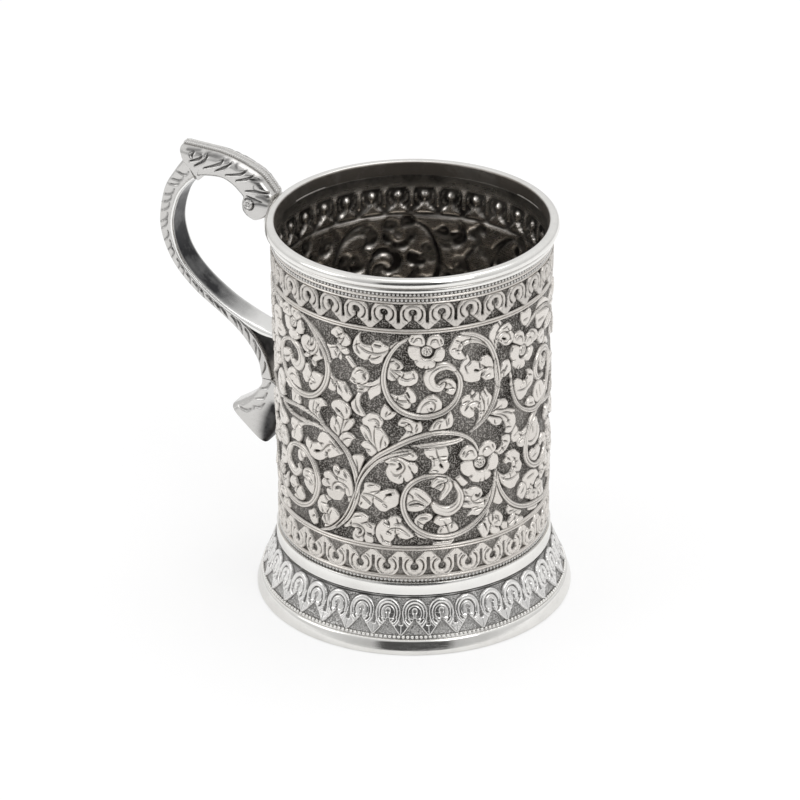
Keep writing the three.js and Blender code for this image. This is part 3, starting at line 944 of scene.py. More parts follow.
# Where leaves come again past the edge of the photograph: which leaf, its place, its size and its turn.
AGAIN = """
41,40,226,0.9,120 49,44,334,1.0,0 61,104,374,0.9,90 53,40,434,0.9,20 13,56,562,0.9,180
22,92,656,0.75,20 9,26,644,1.0,150 36,146,646,0.9,30 42,120,786,0.85,0 26,50,850,0.9,40
38,130,858,0.9,0 10,1252,226,0.85,60 24,1276,336,0.8,20 45,1146,398,0.8,40 27,1246,446,0.8,-40
32,1262,590,0.8,30 4,1196,592,0.8,0 70,1262,700,0.85,0 33,1206,650,0.7,30 23,1214,764,0.9,0
65,1160,766,0.8,40 34,1284,790,0.8,0 38,1090,842,0.9,20 60,1166,350,0.9,60 62,1190,290,1.0,120
16,1180,500,0.7,40 21,1012,888,0.8,0 57,1150,840,0.9,70
"""

# Stems and the bands that end their spirals, a blank line between two. A stem gives its first and last
# width before a bar; a band gives its half-width at each place.
STEMS = """
12,15 | 1300,470 1262,520 1224,545 1180,540 1130,534 1082,550 1050,590 1040,640 1050,690 1092,726 1142,730
1176,700 1180,664

13,17 | 966,366 974,430 1000,484 1046,520 1100,534 1160,514 1196,466 1200,410 1174,368 1130,356 1098,378
1090,412 1108,438 1140,440

8,10 | 1036,242 1094,216 1150,216 1206,246 1244,296 1256,350

10,7 | 880,484 906,438 920,390 934,350

15,11 | 822,520 866,486 900,438 916,384 912,330 898,278 874,234 836,204 790,190

7,9 | 903,300 906,340 914,390

12,12 | 912,662 916,706 936,756 974,804 1030,838 1100,856 1190,868 1268,850 1305,812

14,12 | 910,662 904,720 888,772 856,814 808,846 750,860 690,850 644,820 618,778 611,734 624,690 658,660
700,650 744,660 776,690

770,682,6 789,722,8 782,756,12 752,774,15 718,764,13 704,746,7

746,666,6 752,690,11 738,714,9 726,730,4

742,668,5 718,668,11 704,682,7

14,13 | 648,188 606,212 574,256 558,308 560,360 582,408 622,440 680,453 736,440 774,406 788,358 778,320
748,294

768,304,7 742,290,11 708,298,15 692,326,15 702,354,13 724,362,9 736,348,5

15,12 | 262,190 306,212 346,256 370,304 372,352 354,400 318,436 268,452 214,446 170,414 146,370 152,326
184,300 226,292

218,292,7 252,308,10 262,342,13 244,368,14 216,362,8 210,346,4

8,6 | 270,188 330,220 368,262 384,308

12,15 | 20,700 60,760 104,802 170,832 240,834 292,808 320,760 324,710 304,664 264,636 216,638 182,662

188,656,8 168,692,11 182,724,13 214,736,12 240,716,8 236,700,4

9,8 | 356,522 306,506 236,502 160,516 90,512 20,490 -14,474

10,5 | 384,546 330,536 256,540 186,538 140,524

17,9 | 656,548 716,546 772,542 812,530

15,10 | 330,884 380,862 424,816 454,756 468,704 462,650 438,594 400,554 350,524

17,9 | 396,858 436,812 462,756 474,690 500,632 538,588 590,552 650,522 716,508 782,520 826,550 848,590

9,6 | 462,740 486,672 530,612 580,580 640,566
"""


@dataclass(frozen=True)
class Foliage:
    """The scrolling foliage of one half of the drum, drawn on the wall laid flat.

    A drawing unit is a tenth of a millimetre or so. x runs from left to right as the wall is seen
    from outside, and y down from the mouth. The drawing repeats on the other half.
    """

    unit: float = 0.10246
    middle: float = 645.0
    foot_level: float = 1220.0
    top: float = 180.0
    bottom: float = 884.0
    swell: float = 1.1

    def leaves(self) -> list[Leaf]:
        """Gives the leaves in the order in which they overlap."""
        seen = [Leaf(*leaf.split("|")) for group in LEAVES for leaf in group.split("\n\n")]
        seen = [leaf.moved(*leaf.edge.mean(axis=0), self.swell) for leaf in seen]
        return seen + [seen[int(which)].moved(*where) for which, *where in places(AGAIN)]

    def stems(self) -> list[Stem | Crescent]:
        """Gives the stems, which run over the leaves."""
        drawn: list[Stem | Crescent] = []
        for listed in STEMS.split("\n\n"):
            widths, _, way = listed.rpartition("|")
            drawn.append(Stem(places(way), *places(widths)[0]) if widths else Crescent(places(way)))
        return drawn

    def flowers(self) -> list[Flower]:
        """Gives the open flowers, which lie over everything."""
        return [
            Flower((222, 232), 0.84, -8.0),
            Flower((686, 238), 0.86, 8.0),
            Flower((854, 630), 1.0, 0.0),
            Flower((1020, 312), 0.9, 24.0),
        ]

    def panel(self, columns: int, rows: int, radius: float) -> Panel:
        """Raises the whole drawing on a grid.

        Args:
            columns: Grid columns round half the drum.
            rows: Grid rows from top to bottom.
            radius: The wall's mean radius in millimetres.

        Returns:
            The panel, at twice the grid's fineness.
        """
        width = math.pi * radius / self.unit
        left = self.middle - width / 2
        fine = Panel(left, self.top, width, self.bottom - self.top, 2 * columns, 2 * rows, True, 3.6)
        for form in (*self.leaves(), *self.stems(), *self.flowers()):
            form.draw_on(fine)
        return fine

    def height_of(self, down: np.ndarray) -> np.ndarray:
        """Gives the height above the table of a place down the drawing, in millimetres."""
        return (self.foot_level - down) * self.unit


class Ground(Enum):
    """How the metal is worked between its raised forms."""

    PLAIN = "plain"
    PUNCHED = "punched"


class NodeDesk:
    """Adds and joins nodes in one tree."""

    def __init__(self, tree: Tree) -> None:
        """Keeps the tree to work in."""
        self.tree = tree

    def add(self, kind: str, settings: dict[str, object] | None = None,
            inputs: dict[str | int, object] | None = None) -> bpy.types.Node:
        """Adds a node.

        Args:
            kind: The node's type name.
            settings: Properties to set.
            inputs: Values or sockets for its inputs, by name or number.

        Returns:
            The node.
        """
        node = self.tree.nodes.new(kind)
        for label, value in (settings or {}).items():
            setattr(node, label, value)
        for label, value in (inputs or {}).items():
            if isinstance(value, Socket):
                self.tree.links.new(value, node.inputs[label])
            else:
                node.inputs[label].default_value = value
        return node

    def maths(self, operation: str, first: object, second: object = 0.0, clamp: bool = False) -> Socket:
        """Joins two values or sockets in a Math node, held between 0 and 1 where it clamps."""
        settings = {"operation": operation, "use_clamp": clamp}
        return self.add("ShaderNodeMath", settings, {0: first, 1: second}).outputs[0]

    def blend(self, share: object, first: object, second: object) -> Socket:
        """Mixes two colours, with a share of the second."""
        inputs = {"Factor": share, 6: first, 7: second}
        return self.add("ShaderNodeMix", {"data_type": "RGBA"}, inputs).outputs[2]

    def ranged(self, value: object, low: float, high: float, start: float, end: float) -> Socket:
        """Maps a range of a value to the range from start to end, with the ends held."""
        inputs = {"Value": value, "From Min": low, "From Max": high, "To Min": start, "To Max": end}
        return self.add("ShaderNodeMapRange", {"clamp": True}, inputs).outputs[0]


def bare_desk(owner: bpy.types.Material | bpy.types.World) -> NodeDesk:
    """Clears the node tree of a material or world and gives a desk for it."""
    owner.use_nodes = True
    owner.node_tree.nodes.clear()
    return NodeDesk(owner.node_tree)


def new_group(name: str, kind: str, inputs: Sequence[tuple[str, str, float | None]],
              outputs: Sequence[tuple[str, str]]) -> tuple[Tree, NodeDesk, bpy.types.NodeOutputs]:
    """Starts a node group with named sockets.

    Args:
        name: The group's name.
        kind: The tree's type name.
        inputs: Name, socket type and default value of each input.
        outputs: Name and socket type of each output.

    Returns:
        The group, a desk for it and its given values.
    """
    group = bpy.data.node_groups.new(name, kind)
    for label, socket_kind, value in inputs:
        socket = group.interface.new_socket(label, in_out="INPUT", socket_type=socket_kind)
        if value is not None:
            socket.default_value = value
    for label, socket_kind in outputs:
        group.interface.new_socket(label, in_out="OUTPUT", socket_type=socket_kind)
    desk = NodeDesk(group)
    return group, desk, desk.add("NodeGroupInput").outputs


FLOAT = "NodeSocketFloat"
VECTOR = "NodeSocketVector"
GEOMETRY = ("Geometry", "NodeSocketGeometry", None)
MATERIAL = ("Material", "NodeSocketMaterial", None)


class SharedEffects:
    """Shader groups that several finishes use, each made once."""

    def __init__(self) -> None:
        """Makes the groups."""
        self.scratches = self.make_scratches()
        self.tarnish = self.make_tarnish()
        self.punches = self.make_punches()

    def make_scratches(self) -> Tree:
        """Makes hairline polishing marks that run mostly round the drum."""
        sockets = [("Length", FLOAT, 160.0), ("Fineness", FLOAT, 3600.0)]
        group, desk, given = new_group("hairline_marks", "ShaderNodeTree", sockets, [("Mark", FLOAT)])
        place = desk.add("ShaderNodeTexCoord").outputs["Object"]
        stretch = desk.add("ShaderNodeCombineXYZ", None, {
            0: given["Length"], 1: given["Length"], 2: given["Fineness"]})
        product = {"operation": "MULTIPLY"}
        level = desk.add("ShaderNodeVectorMath", product, {0: place, 1: stretch.outputs[0]})
        level_noise = desk.add("ShaderNodeTexNoise", None, {
            "Vector": level.outputs[0], "Scale": 1.0, "Detail": 3.0, "Roughness": 0.6})
        turn = desk.add("ShaderNodeMapping", None, {"Vector": place, "Rotation": (0.9, 0.4, 0.6)})
        cross = desk.add("ShaderNodeVectorMath", product, {0: turn.outputs[0], 1: stretch.outputs[0]})
        cross_noise = desk.add("ShaderNodeTexNoise", None, {
            "Vector": cross.outputs[0], "Scale": 0.8, "Detail": 2.0, "Roughness": 0.5})
        fine = desk.ranged(level_noise.outputs[0], 0.42, 0.72, 0.0, 1.0)
        stray = desk.ranged(cross_noise.outputs[0], 0.58, 0.74, 0.0, 1.0)
        mark = desk.maths("MAXIMUM", fine, stray)
        desk.add("NodeGroupOutput", None, {"Mark": mark})
        return group

    def make_tarnish(self) -> Tree:
        """Makes tarnish that fills hollows and blooms a little on open metal; its Hollow input also carries
        painted shade and painted reflections.
        """
        sockets = [("Hollow", FLOAT, 0.0), ("Bloom", FLOAT, 0.2), ("Scale", FLOAT, 90.0)]
        group, desk, given = new_group("tarnish", "ShaderNodeTree", sockets, [("Share", FLOAT)])
        place = desk.add("ShaderNodeTexCoord").outputs["Object"]
        cloud = desk.add("ShaderNodeTexNoise", None, {
            "Vector": place, "Scale": given["Scale"], "Detail": 5.0, "Roughness": 0.62})
        patch = desk.ranged(cloud.outputs[0], 0.45, 0.75, 0.0, 1.0)
        bloom = desk.maths("MULTIPLY", patch, given["Bloom"])
        uneven = desk.ranged(cloud.outputs[0], 0.3, 0.7, 0.86, 1.1)
        hollow = desk.maths("MULTIPLY", given["Hollow"], uneven)
        desk.add("NodeGroupOutput", None, {"Share": desk.maths("ADD", bloom, hollow, True)})
        return group

    def make_punches(self) -> Tree:
        """Makes the close punch marks of a matted ground."""
        group, desk, given = new_group("punched_ground", "ShaderNodeTree", [("Count", FLOAT, 2100.0)],
                                       [("Height", FLOAT), ("Glint", FLOAT)])
        place = desk.add("ShaderNodeTexCoord").outputs["Object"]
        cells = desk.add("ShaderNodeTexVoronoi", {"feature": "F1"}, {
            "Vector": place, "Scale": given["Count"], "Randomness": 0.85})
        pit = desk.ranged(cells.outputs["Distance"], 0.15, 0.62, 0.0, 1.0)
        glint = desk.ranged(cells.outputs["Distance"], 0.48, 0.72, 0.0, 1.0)
        desk.add("NodeGroupOutput", None, {"Height": pit, "Glint": glint})
        return group


@dataclass(frozen=True)
class Finish:
    """One finish of the silver, from bright metal on what stands proud to tarnish in the hollows, which also
    takes the painted shade and painted reflections that the cavity attribute carries.
    """

    name: str
    bright: Colour
    dark: Colour
    roughness: float
    dark_roughness: float
    bloom: float
    ground: Ground = Ground.PLAIN
    ground_tarnish: float = 0.7
    glint: float = 0.4
    scratch: float = 0.12
    wear_depth: float = 0.00002
    scratch_depth: float = 0.08

    def material(self, effects: SharedEffects) -> bpy.types.Material:
        """Makes the finish's material.

        Args:
            effects: The shared shader groups.

        Returns:
            The material.
        """
        material = bpy.data.materials.new(self.name)
        desk = bare_desk(material)
        # The cavity attribute carries tarnish in the hollows together with painted shade and painted
        # reflections
        hollow = desk.add("ShaderNodeAttribute", {"attribute_name": "cavity"}).outputs["Fac"]
        relief = desk.add("ShaderNodeAttribute", {"attribute_name": "relief"}).outputs["Fac"]
        marks = desk.add("ShaderNodeGroup", {"node_tree": effects.scratches}).outputs["Mark"]
        punched = self.ground is Ground.PUNCHED
        if punched:
            matted = desk.maths("SUBTRACT", 1.0, relief, True)
            punches = desk.add("ShaderNodeGroup", {"node_tree": effects.punches})
            glint = desk.maths("MULTIPLY", punches.outputs["Glint"], self.glint)
            kept = desk.maths("SUBTRACT", self.ground_tarnish, glint, True)
            hollow = desk.maths("MAXIMUM", hollow, desk.maths("MULTIPLY", matted, kept))
        tarnish = desk.add("ShaderNodeGroup", {"node_tree": effects.tarnish}, {
            "Hollow": hollow, "Bloom": self.bloom})
        share = tarnish.outputs["Share"]
        colour = desk.blend(share, (*self.bright, 1.0), (*self.dark, 1.0))
        rough = desk.ranged(share, 0.0, 1.0, self.roughness, self.dark_roughness)
        rough = desk.maths("ADD", rough, desk.maths("MULTIPLY", marks, self.scratch), True)
        height = desk.maths("MULTIPLY", marks, -self.scratch_depth)
        if punched:
            pits = desk.maths("MULTIPLY", punches.outputs["Height"], matted)
            height = desk.maths("ADD", height, pits)
        bump = desk.add("ShaderNodeBump", None, {"Distance": self.wear_depth, "Height": height})
        shader = desk.add("ShaderNodeBsdfPrincipled", None, {
            "Base Color": colour, "Metallic": 1.0, "Roughness": rough, "Normal": bump.outputs[0]})
        desk.add("ShaderNodeOutputMaterial", None, {"Surface": shader.outputs[0]})
        return material


POLISHED = Finish("polished_silver", (0.82, 0.81, 0.785), (0.20, 0.18, 0.16), 0.075, 0.42, 0.16)
CHASED = Finish("chased_silver", (0.70, 0.665, 0.625), (0.034, 0.03, 0.026), 0.22, 0.5, 0.08,
                Ground.PUNCHED, 0.90, 0.32, 0.10, 0.00016)
# The handle's and strap's dark colours also paint the shade and dark reflections on them; the strap's is
# mostly that painted reflection, with a little tarnish bloom
HANDLE = Finish("handle_silver", (0.59, 0.58, 0.565), (0.03, 0.029, 0.03), 0.18, 0.38, 0.12)
STRAP = Finish("strap_silver", (0.84, 0.835, 0.82), (0.03, 0.03, 0.032), 0.1, 0.3, 0.1)
FOOT = Finish("foot_silver", (0.77, 0.76, 0.745), (0.06, 0.056, 0.052), 0.13, 0.42, 0.06,
              Ground.PUNCHED, 0.6, 0.36, 0.08, 0.00016)
LINING = Finish("tarnished_silver", (0.80, 0.76, 0.71), (0.06, 0.056, 0.052), 0.17, 0.34, 0.3)


class Repeat:
    """Geometry Nodes trees that set one shape out many times."""

    def __init__(self) -> None:
        """Makes the trees."""
        self.ring = self.make_ring()
        self.row = self.make_row()

    @staticmethod
    def finish_tree(desk: NodeDesk, shapes: Socket, material: Socket) -> None:
        """Ends a tree with real geometry in its finish.

        Args:
            desk: The tree's desk.
            shapes: The instances.
            material: The material input.
        """
        real = desk.add("GeometryNodeRealizeInstances", None, {"Geometry": shapes})
        dressed = desk.add("GeometryNodeSetMaterial", None, {
            "Geometry": real.outputs[0], "Material": material})
        desk.add("NodeGroupOutput", None, {"Geometry": dressed.outputs[0]})

    def make_ring(self) -> Tree:
        """Makes the tree that turns one shape round the drum's axis in equal steps."""
        tree, desk, given = new_group("set_round_axis", "GeometryNodeTree", [
            GEOMETRY, ("Count", "NodeSocketInt", 12), ("Start", FLOAT, 0.0), ("Axis", VECTOR, None),
            MATERIAL], [GEOMETRY[:2]])
        places = desk.add("GeometryNodePoints", None, {
            "Count": given["Count"], "Position": given["Axis"]})
        number = desk.add("GeometryNodeInputIndex").outputs[0]
        step = desk.maths("DIVIDE", 2 * math.pi, given["Count"])
        angle = desk.maths("ADD", desk.maths("MULTIPLY", number, step), given["Start"])
        turn = desk.add("ShaderNodeCombineXYZ", None, {2: angle})
        rotation = desk.add("FunctionNodeEulerToRotation", None, {0: turn.outputs[0]})
        shapes = desk.add("GeometryNodeInstanceOnPoints", None, {
            "Points": places.outputs[0], "Instance": given["Geometry"],
            "Rotation": rotation.outputs[0]})
        self.finish_tree(desk, shapes.outputs[0], given["Material"])
        return tree

    def make_row(self) -> Tree:
        """Makes the tree that sets beads along a line."""
        tree, desk, given = new_group("bead_row", "GeometryNodeTree", [
            GEOMETRY, ("Count", "NodeSocketInt", 12), ("Bead Radius", FLOAT, 0.0005), MATERIAL],
            [GEOMETRY[:2]])
        line = desk.add("GeometryNodeMeshToCurve", None, {0: given["Geometry"]})
        places = desk.add("GeometryNodeCurveToPoints", {"mode": "COUNT"}, {
            "Curve": line.outputs[0], "Count": given["Count"]})
        bead = desk.add("GeometryNodeMeshIcoSphere", None, {
            "Radius": given["Bead Radius"], "Subdivisions": 2})
        smooth = desk.add("GeometryNodeSetShadeSmooth", None, {0: bead.outputs[0]})
        shapes = desk.add("GeometryNodeInstanceOnPoints", None, {
            "Points": places.outputs[0], "Instance": smooth.outputs[0]})
        self.finish_tree(desk, shapes.outputs[0], given["Material"])
        return tree

    def settle(self, carrier: Piece, tree: Tree, name: str, values: dict[str, object]) -> Piece:
        """Runs a tree on a carrier and keeps the result as a plain mesh.

        Args:
            carrier: The object whose mesh the tree takes. It is removed.
            tree: The tree.
            name: The new piece's name.
            values: The tree's inputs by name.

        Returns:
            The new piece.
        """
        modifier = carrier.modifiers.new("repeat", "NODES")
        modifier.node_group = tree
        for socket in tree.interface.items_tree:
            if socket.in_out == "INPUT" and socket.name in values:
                modifier[socket.identifier] = values[socket.name]
        graph = bpy.context.evaluated_depsgraph_get()
        mesh = bpy.data.meshes.new_from_object(
            carrier.evaluated_get(graph), preserve_all_data_layers=True, depsgraph=graph)
        mesh.name = name
        spare = carrier.data
        bpy.data.objects.remove(carrier)
        bpy.data.meshes.remove(spare)
        return put_in_scene(name, mesh)


class Workshop:
    """Makes the finishes once, and hands finished pieces to the frame."""

    def __init__(self) -> None:
        """Makes the shared effects and the repeating trees."""
        self.effects = SharedEffects()
        self.repeat = Repeat()
        self.materials: dict[str, bpy.types.Material] = {}

    def material(self, finish: Finish) -> bpy.types.Material:
        """Gives a finish's material, made on its first use."""
        if finish.name not in self.materials:
            self.materials[finish.name] = finish.material(self.effects)
        return self.materials[finish.name]

    def dress(self, piece: Piece, finish: Finish, slot: str, *nodes: str) -> None:
        """Gives a piece its finish and its place in the frame.

        Args:
            piece: The piece.
            finish: Its finish.
            slot: Not used.
            nodes: CAD nodes that it stands for.
        """
        piece.data.materials.clear()
        piece.data.materials.append(self.material(finish))
        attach(piece, BODY)
        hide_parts(*nodes)
        LOG.info("%s: %d faces, %s", piece.name, len(piece.data.polygons), finish.name)


@dataclass(frozen=True)
class Beads:
    """A row of beads: its name, how many, a bead's radius in millimetres, their finish and CAD node."""

    name: str
    count: int
    bead: float
    finish: Finish
    node: str

    def along(self, shop: Workshop, points: np.ndarray, closed: bool = False) -> None:
        """Sets the beads along a line.

        Args:
            shop: The workshop.
            points: The line's places in millimetres, one row each.
            closed: Whether it closes on itself, round the drum's axis.
        """
        mesh = bpy.data.meshes.new(self.name + "_line")
        stretches = len(points) if closed else len(points) - 1
        edges = [(number, (number + 1) % len(points)) for number in range(stretches)]
        mesh.from_pydata([tuple(place) for place in points * MM], edges, [])
        line = put_in_scene(self.name + "_line", mesh)
        row = shop.repeat.settle(line, shop.repeat.row, self.name, {
            "Count": self.count, "Bead Radius": self.bead * MM, "Material": shop.material(self.finish)})
        if closed:
            unroll(row)
        shop.dress(row, self.finish, "chased_silver", self.node)

    def in_ring(self, shop: Workshop, radius: float, height: float) -> None:
        """Sets the beads in a ring of a radius and height round the drum's axis."""
        turn = np.arange(self.count) * 2 * math.pi / self.count
        self.along(shop, round_axis(np.array(radius), np.array(height), turn), True)


def read(items: bpy.types.bpy_prop_collection, label: str, width: int, kind: type = np.float32) -> np.ndarray:
    """Reads one property of every point, corner or face of a mesh.

    Args:
        items: The points, corners or faces.
        label: The property.
        width: How many numbers it has.
        kind: Their type.

    Returns:
        The numbers, one row for each item.
    """
    values = np.empty(len(items) * width, dtype=kind)
    items.foreach_get(label, values)
    return values.reshape(-1, width)


def unroll(piece: Piece) -> None:
    """Lays a ring-shaped piece's faces out flat, the outer ones apart from the rest.

    Args:
        piece: The piece, round the drum's axis.
    """
    mesh = piece.data
    places = read(mesh.vertices, "co", 3) / MM
    corners = read(mesh.loops, "vertex_index", 1, np.int32)[:, 0]
    counts = read(mesh.polygons, "loop_total", 1, np.int32)[:, 0]
    normals = read(mesh.polygons, "normal", 3)
    middles = read(mesh.polygons, "center", 3) / MM - np.array([AXIS_X, 0, 0])
    outward = (normals[:, 0] * middles[:, 0] + normals[:, 1] * middles[:, 1]) > 0
    middle_turn = np.repeat(np.arctan2(middles[:, 0], -middles[:, 1]), counts)
    at = places[corners]
    turn = np.arctan2(at[:, 0] - AXIS_X, -at[:, 1])
    turn = middle_turn + np.mod(turn - middle_turn + math.pi, 2 * math.pi) - math.pi
    low, high = places[:, 2].min(), places[:, 2].max()
    up = (at[:, 2] - low) / max(high - low, 1e-6)
    (outer_start, outer_share), (inner_start, inner_share) = RING_MAP
    up = np.where(np.repeat(outward, counts), outer_start + outer_share * up, inner_start + inner_share * up)
    across = 0.5 + RING_MAP_HALF * turn / math.pi
    layer = mesh.uv_layers.get("OFBake") or mesh.uv_layers.new(name="OFBake")
    layer.data.foreach_set("uv", np.stack([across, up], axis=-1).astype(np.float32).ravel())


def border_motif(across: np.ndarray, down: np.ndarray) -> np.ndarray:
    """Gives the relief of one arch of the borders, drawn with rings, bands and wedges.

    Args:
        across: Distance from the arch's middle line, in drawing units.
        down: Distance below the middle of the arch's eye.

    Returns:
        Heights from 0 on the punched ground to 1 on the arch.
    """
    side = np.abs(across)
    ring, eye = np.hypot(across, down - 2.0), np.hypot(across, down + 2.0)
    band = 0.62 + 0.38 * dome((ring - 34.5) / 6.0)
    boss = 0.66 + 0.34 * dome((ring - 19.0) / 9.0)
    form = np.where(ring < 28.0, boss, np.where(ring < 41.0, band, 0.74))
    groove = bell(ring - 28.5, 2.4) * smooth_step(10.0, 15.0, side)
    form -= 0.55 * groove * smooth_step(-16.0, -8.0, down) * smooth_step(27.0, 22.0, down)
    spandrel = smooth_step(37.0, 40.0, ring) * smooth_step(14.0, 6.0, down)
    slot = smooth_step(37.2, 39.0, side) * smooth_step(32.0, 29.0, down) * smooth_step(36.5, 38.5, ring)
    slope = side - (down - 17.0) * 1.02
    triangle = smooth_step(1.5, -1.5, slope) * smooth_step(17.0, 20.0, down)
    stalk = smooth_step(4.4, 3.0, side) * smooth_step(0.0, 2.0, down) * smooth_step(24.0, 21.0, down)
    keyhole = np.maximum(smooth_step(12.5, 10.5, eye), stalk)
    carved = np.maximum.reduce([spandrel, slot, triangle, keyhole])
    return np.clip(form, 0.0, 1.0) * (1.0 - carved)


def bold_motif(across: np.ndarray, down: np.ndarray) -> np.ndarray:
    """Gives the relief of one arch of the foot, whose eye is a disc with a shallow drop in it.

    Args:
        across: Distance from the arch's middle line, in drawing units.
        down: Distance below the middle of the arch's eye.

    Returns:
        Heights from 0 on the punched ground to 1 on the arch.
    """
    ring = np.hypot(across, down - 1.0)
    disc = 0.66 + 0.26 * dome(ring / 24.0)
    drop = np.maximum(smooth_step(8.0, 6.0, np.hypot(across, down + 5.0)),
                      smooth_step(4.0, 2.4, np.abs(across)) * smooth_step(-5.0, -3.0, down))
    disc = disc - 0.38 * drop * smooth_step(15.0, 11.0, down)
    band = 0.6 + 0.4 * dome((ring - 33.0) / 7.6)
    arch = np.where(ring < 23.5, disc, band) - 0.5 * bell(ring - 24.6, 1.6)
    return np.where((ring < 40.5) & (down < 15.0), arch, border_motif(across, down))


@dataclass
class Border:
    """A row of arches round the drum or the foot, each turned out as one closed tile."""

    name: str
    radius_at: Callable[[np.ndarray], np.ndarray]
    low: float
    high: float
    upright: bool = True
    # Painted shade: added to the darkening beside the forms and taken off their raised share. Above zero it
    # darkens the border as though in the rim's shadow; below zero it lightens it.
    shade: float = 0.0
    count: int = 31
    motif: Callable[[np.ndarray, np.ndarray], np.ndarray] = border_motif
    unit: float = 0.1025
    eye_share: float = 0.36
    tall: float = 80.0
    columns: int = 44
    rows: int = 38

    wide, depth, thickness = 85.0, 0.95, 0.75
    # The darkening beside the forms is tarnish together with painted shade
    soft_spread, soft_depth, raised = 2.4, 3.0, (0.15, 0.55)

    def tile(self) -> Piece:
        """Makes one tile, a closed slab, about an axis at the origin."""
        step = 2 * math.pi / self.count
        turn = np.linspace(-step / 2, step / 2, self.columns + 1)
        height = np.linspace(self.low, self.high, self.rows + 1)[:, None]
        radius = self.radius_at(height)
        stretch = self.wide * self.unit / (step * float(radius.mean()))
        span = (self.high - self.low) / (self.tall * self.unit)
        across = turn[None, :] * radius * stretch / self.unit
        from_top = (self.high - height) if self.upright else (height - self.low)
        down = from_top / (self.unit * span) - self.tall * self.eye_share
        form = self.motif(*np.broadcast_arrays(across, down))
        soft = blurred(form, self.soft_spread, True)
        cavity = np.clip((soft - form) * self.soft_depth + self.shade, 0.0, 1.0)
        relief = np.clip(smooth_step(*self.raised, form) - self.shade, 0.0, 1.0)
        slope = np.gradient(radius[:, 0], height[:, 0])[:, None]
        lean = np.sqrt(1 + slope ** 2)
        lift = self.depth * (form - 0.5)
        outer = round_axis(radius + lift / lean, height - lift * slope / lean, turn[None, :])
        back = round_axis(radius[[0, -1]] - self.thickness, height[[0, -1]], turn[None, :])
        shift = np.array([AXIS_X, 0.0, 0.0])
        return slab(self.name + "_tile", outer - shift, back - shift, {"cavity": cavity, "relief": relief})

    def build(self, shop: Workshop, finish: Finish, node: str) -> None:
        """Sets the tiles out in a ring and dresses it.

        Args:
            shop: The workshop.
            finish: The tiles' finish.
            node: The CAD node that they stand for.
        """
        piece = shop.repeat.settle(self.tile(), shop.repeat.ring, self.name, {
            "Count": self.count, "Start": FRONT, "Axis": (AXIS_X * MM, 0.0, 0.0),
            "Material": shop.material(finish)})
        unroll(piece)
        shop.dress(piece, finish, "chased_silver", node)


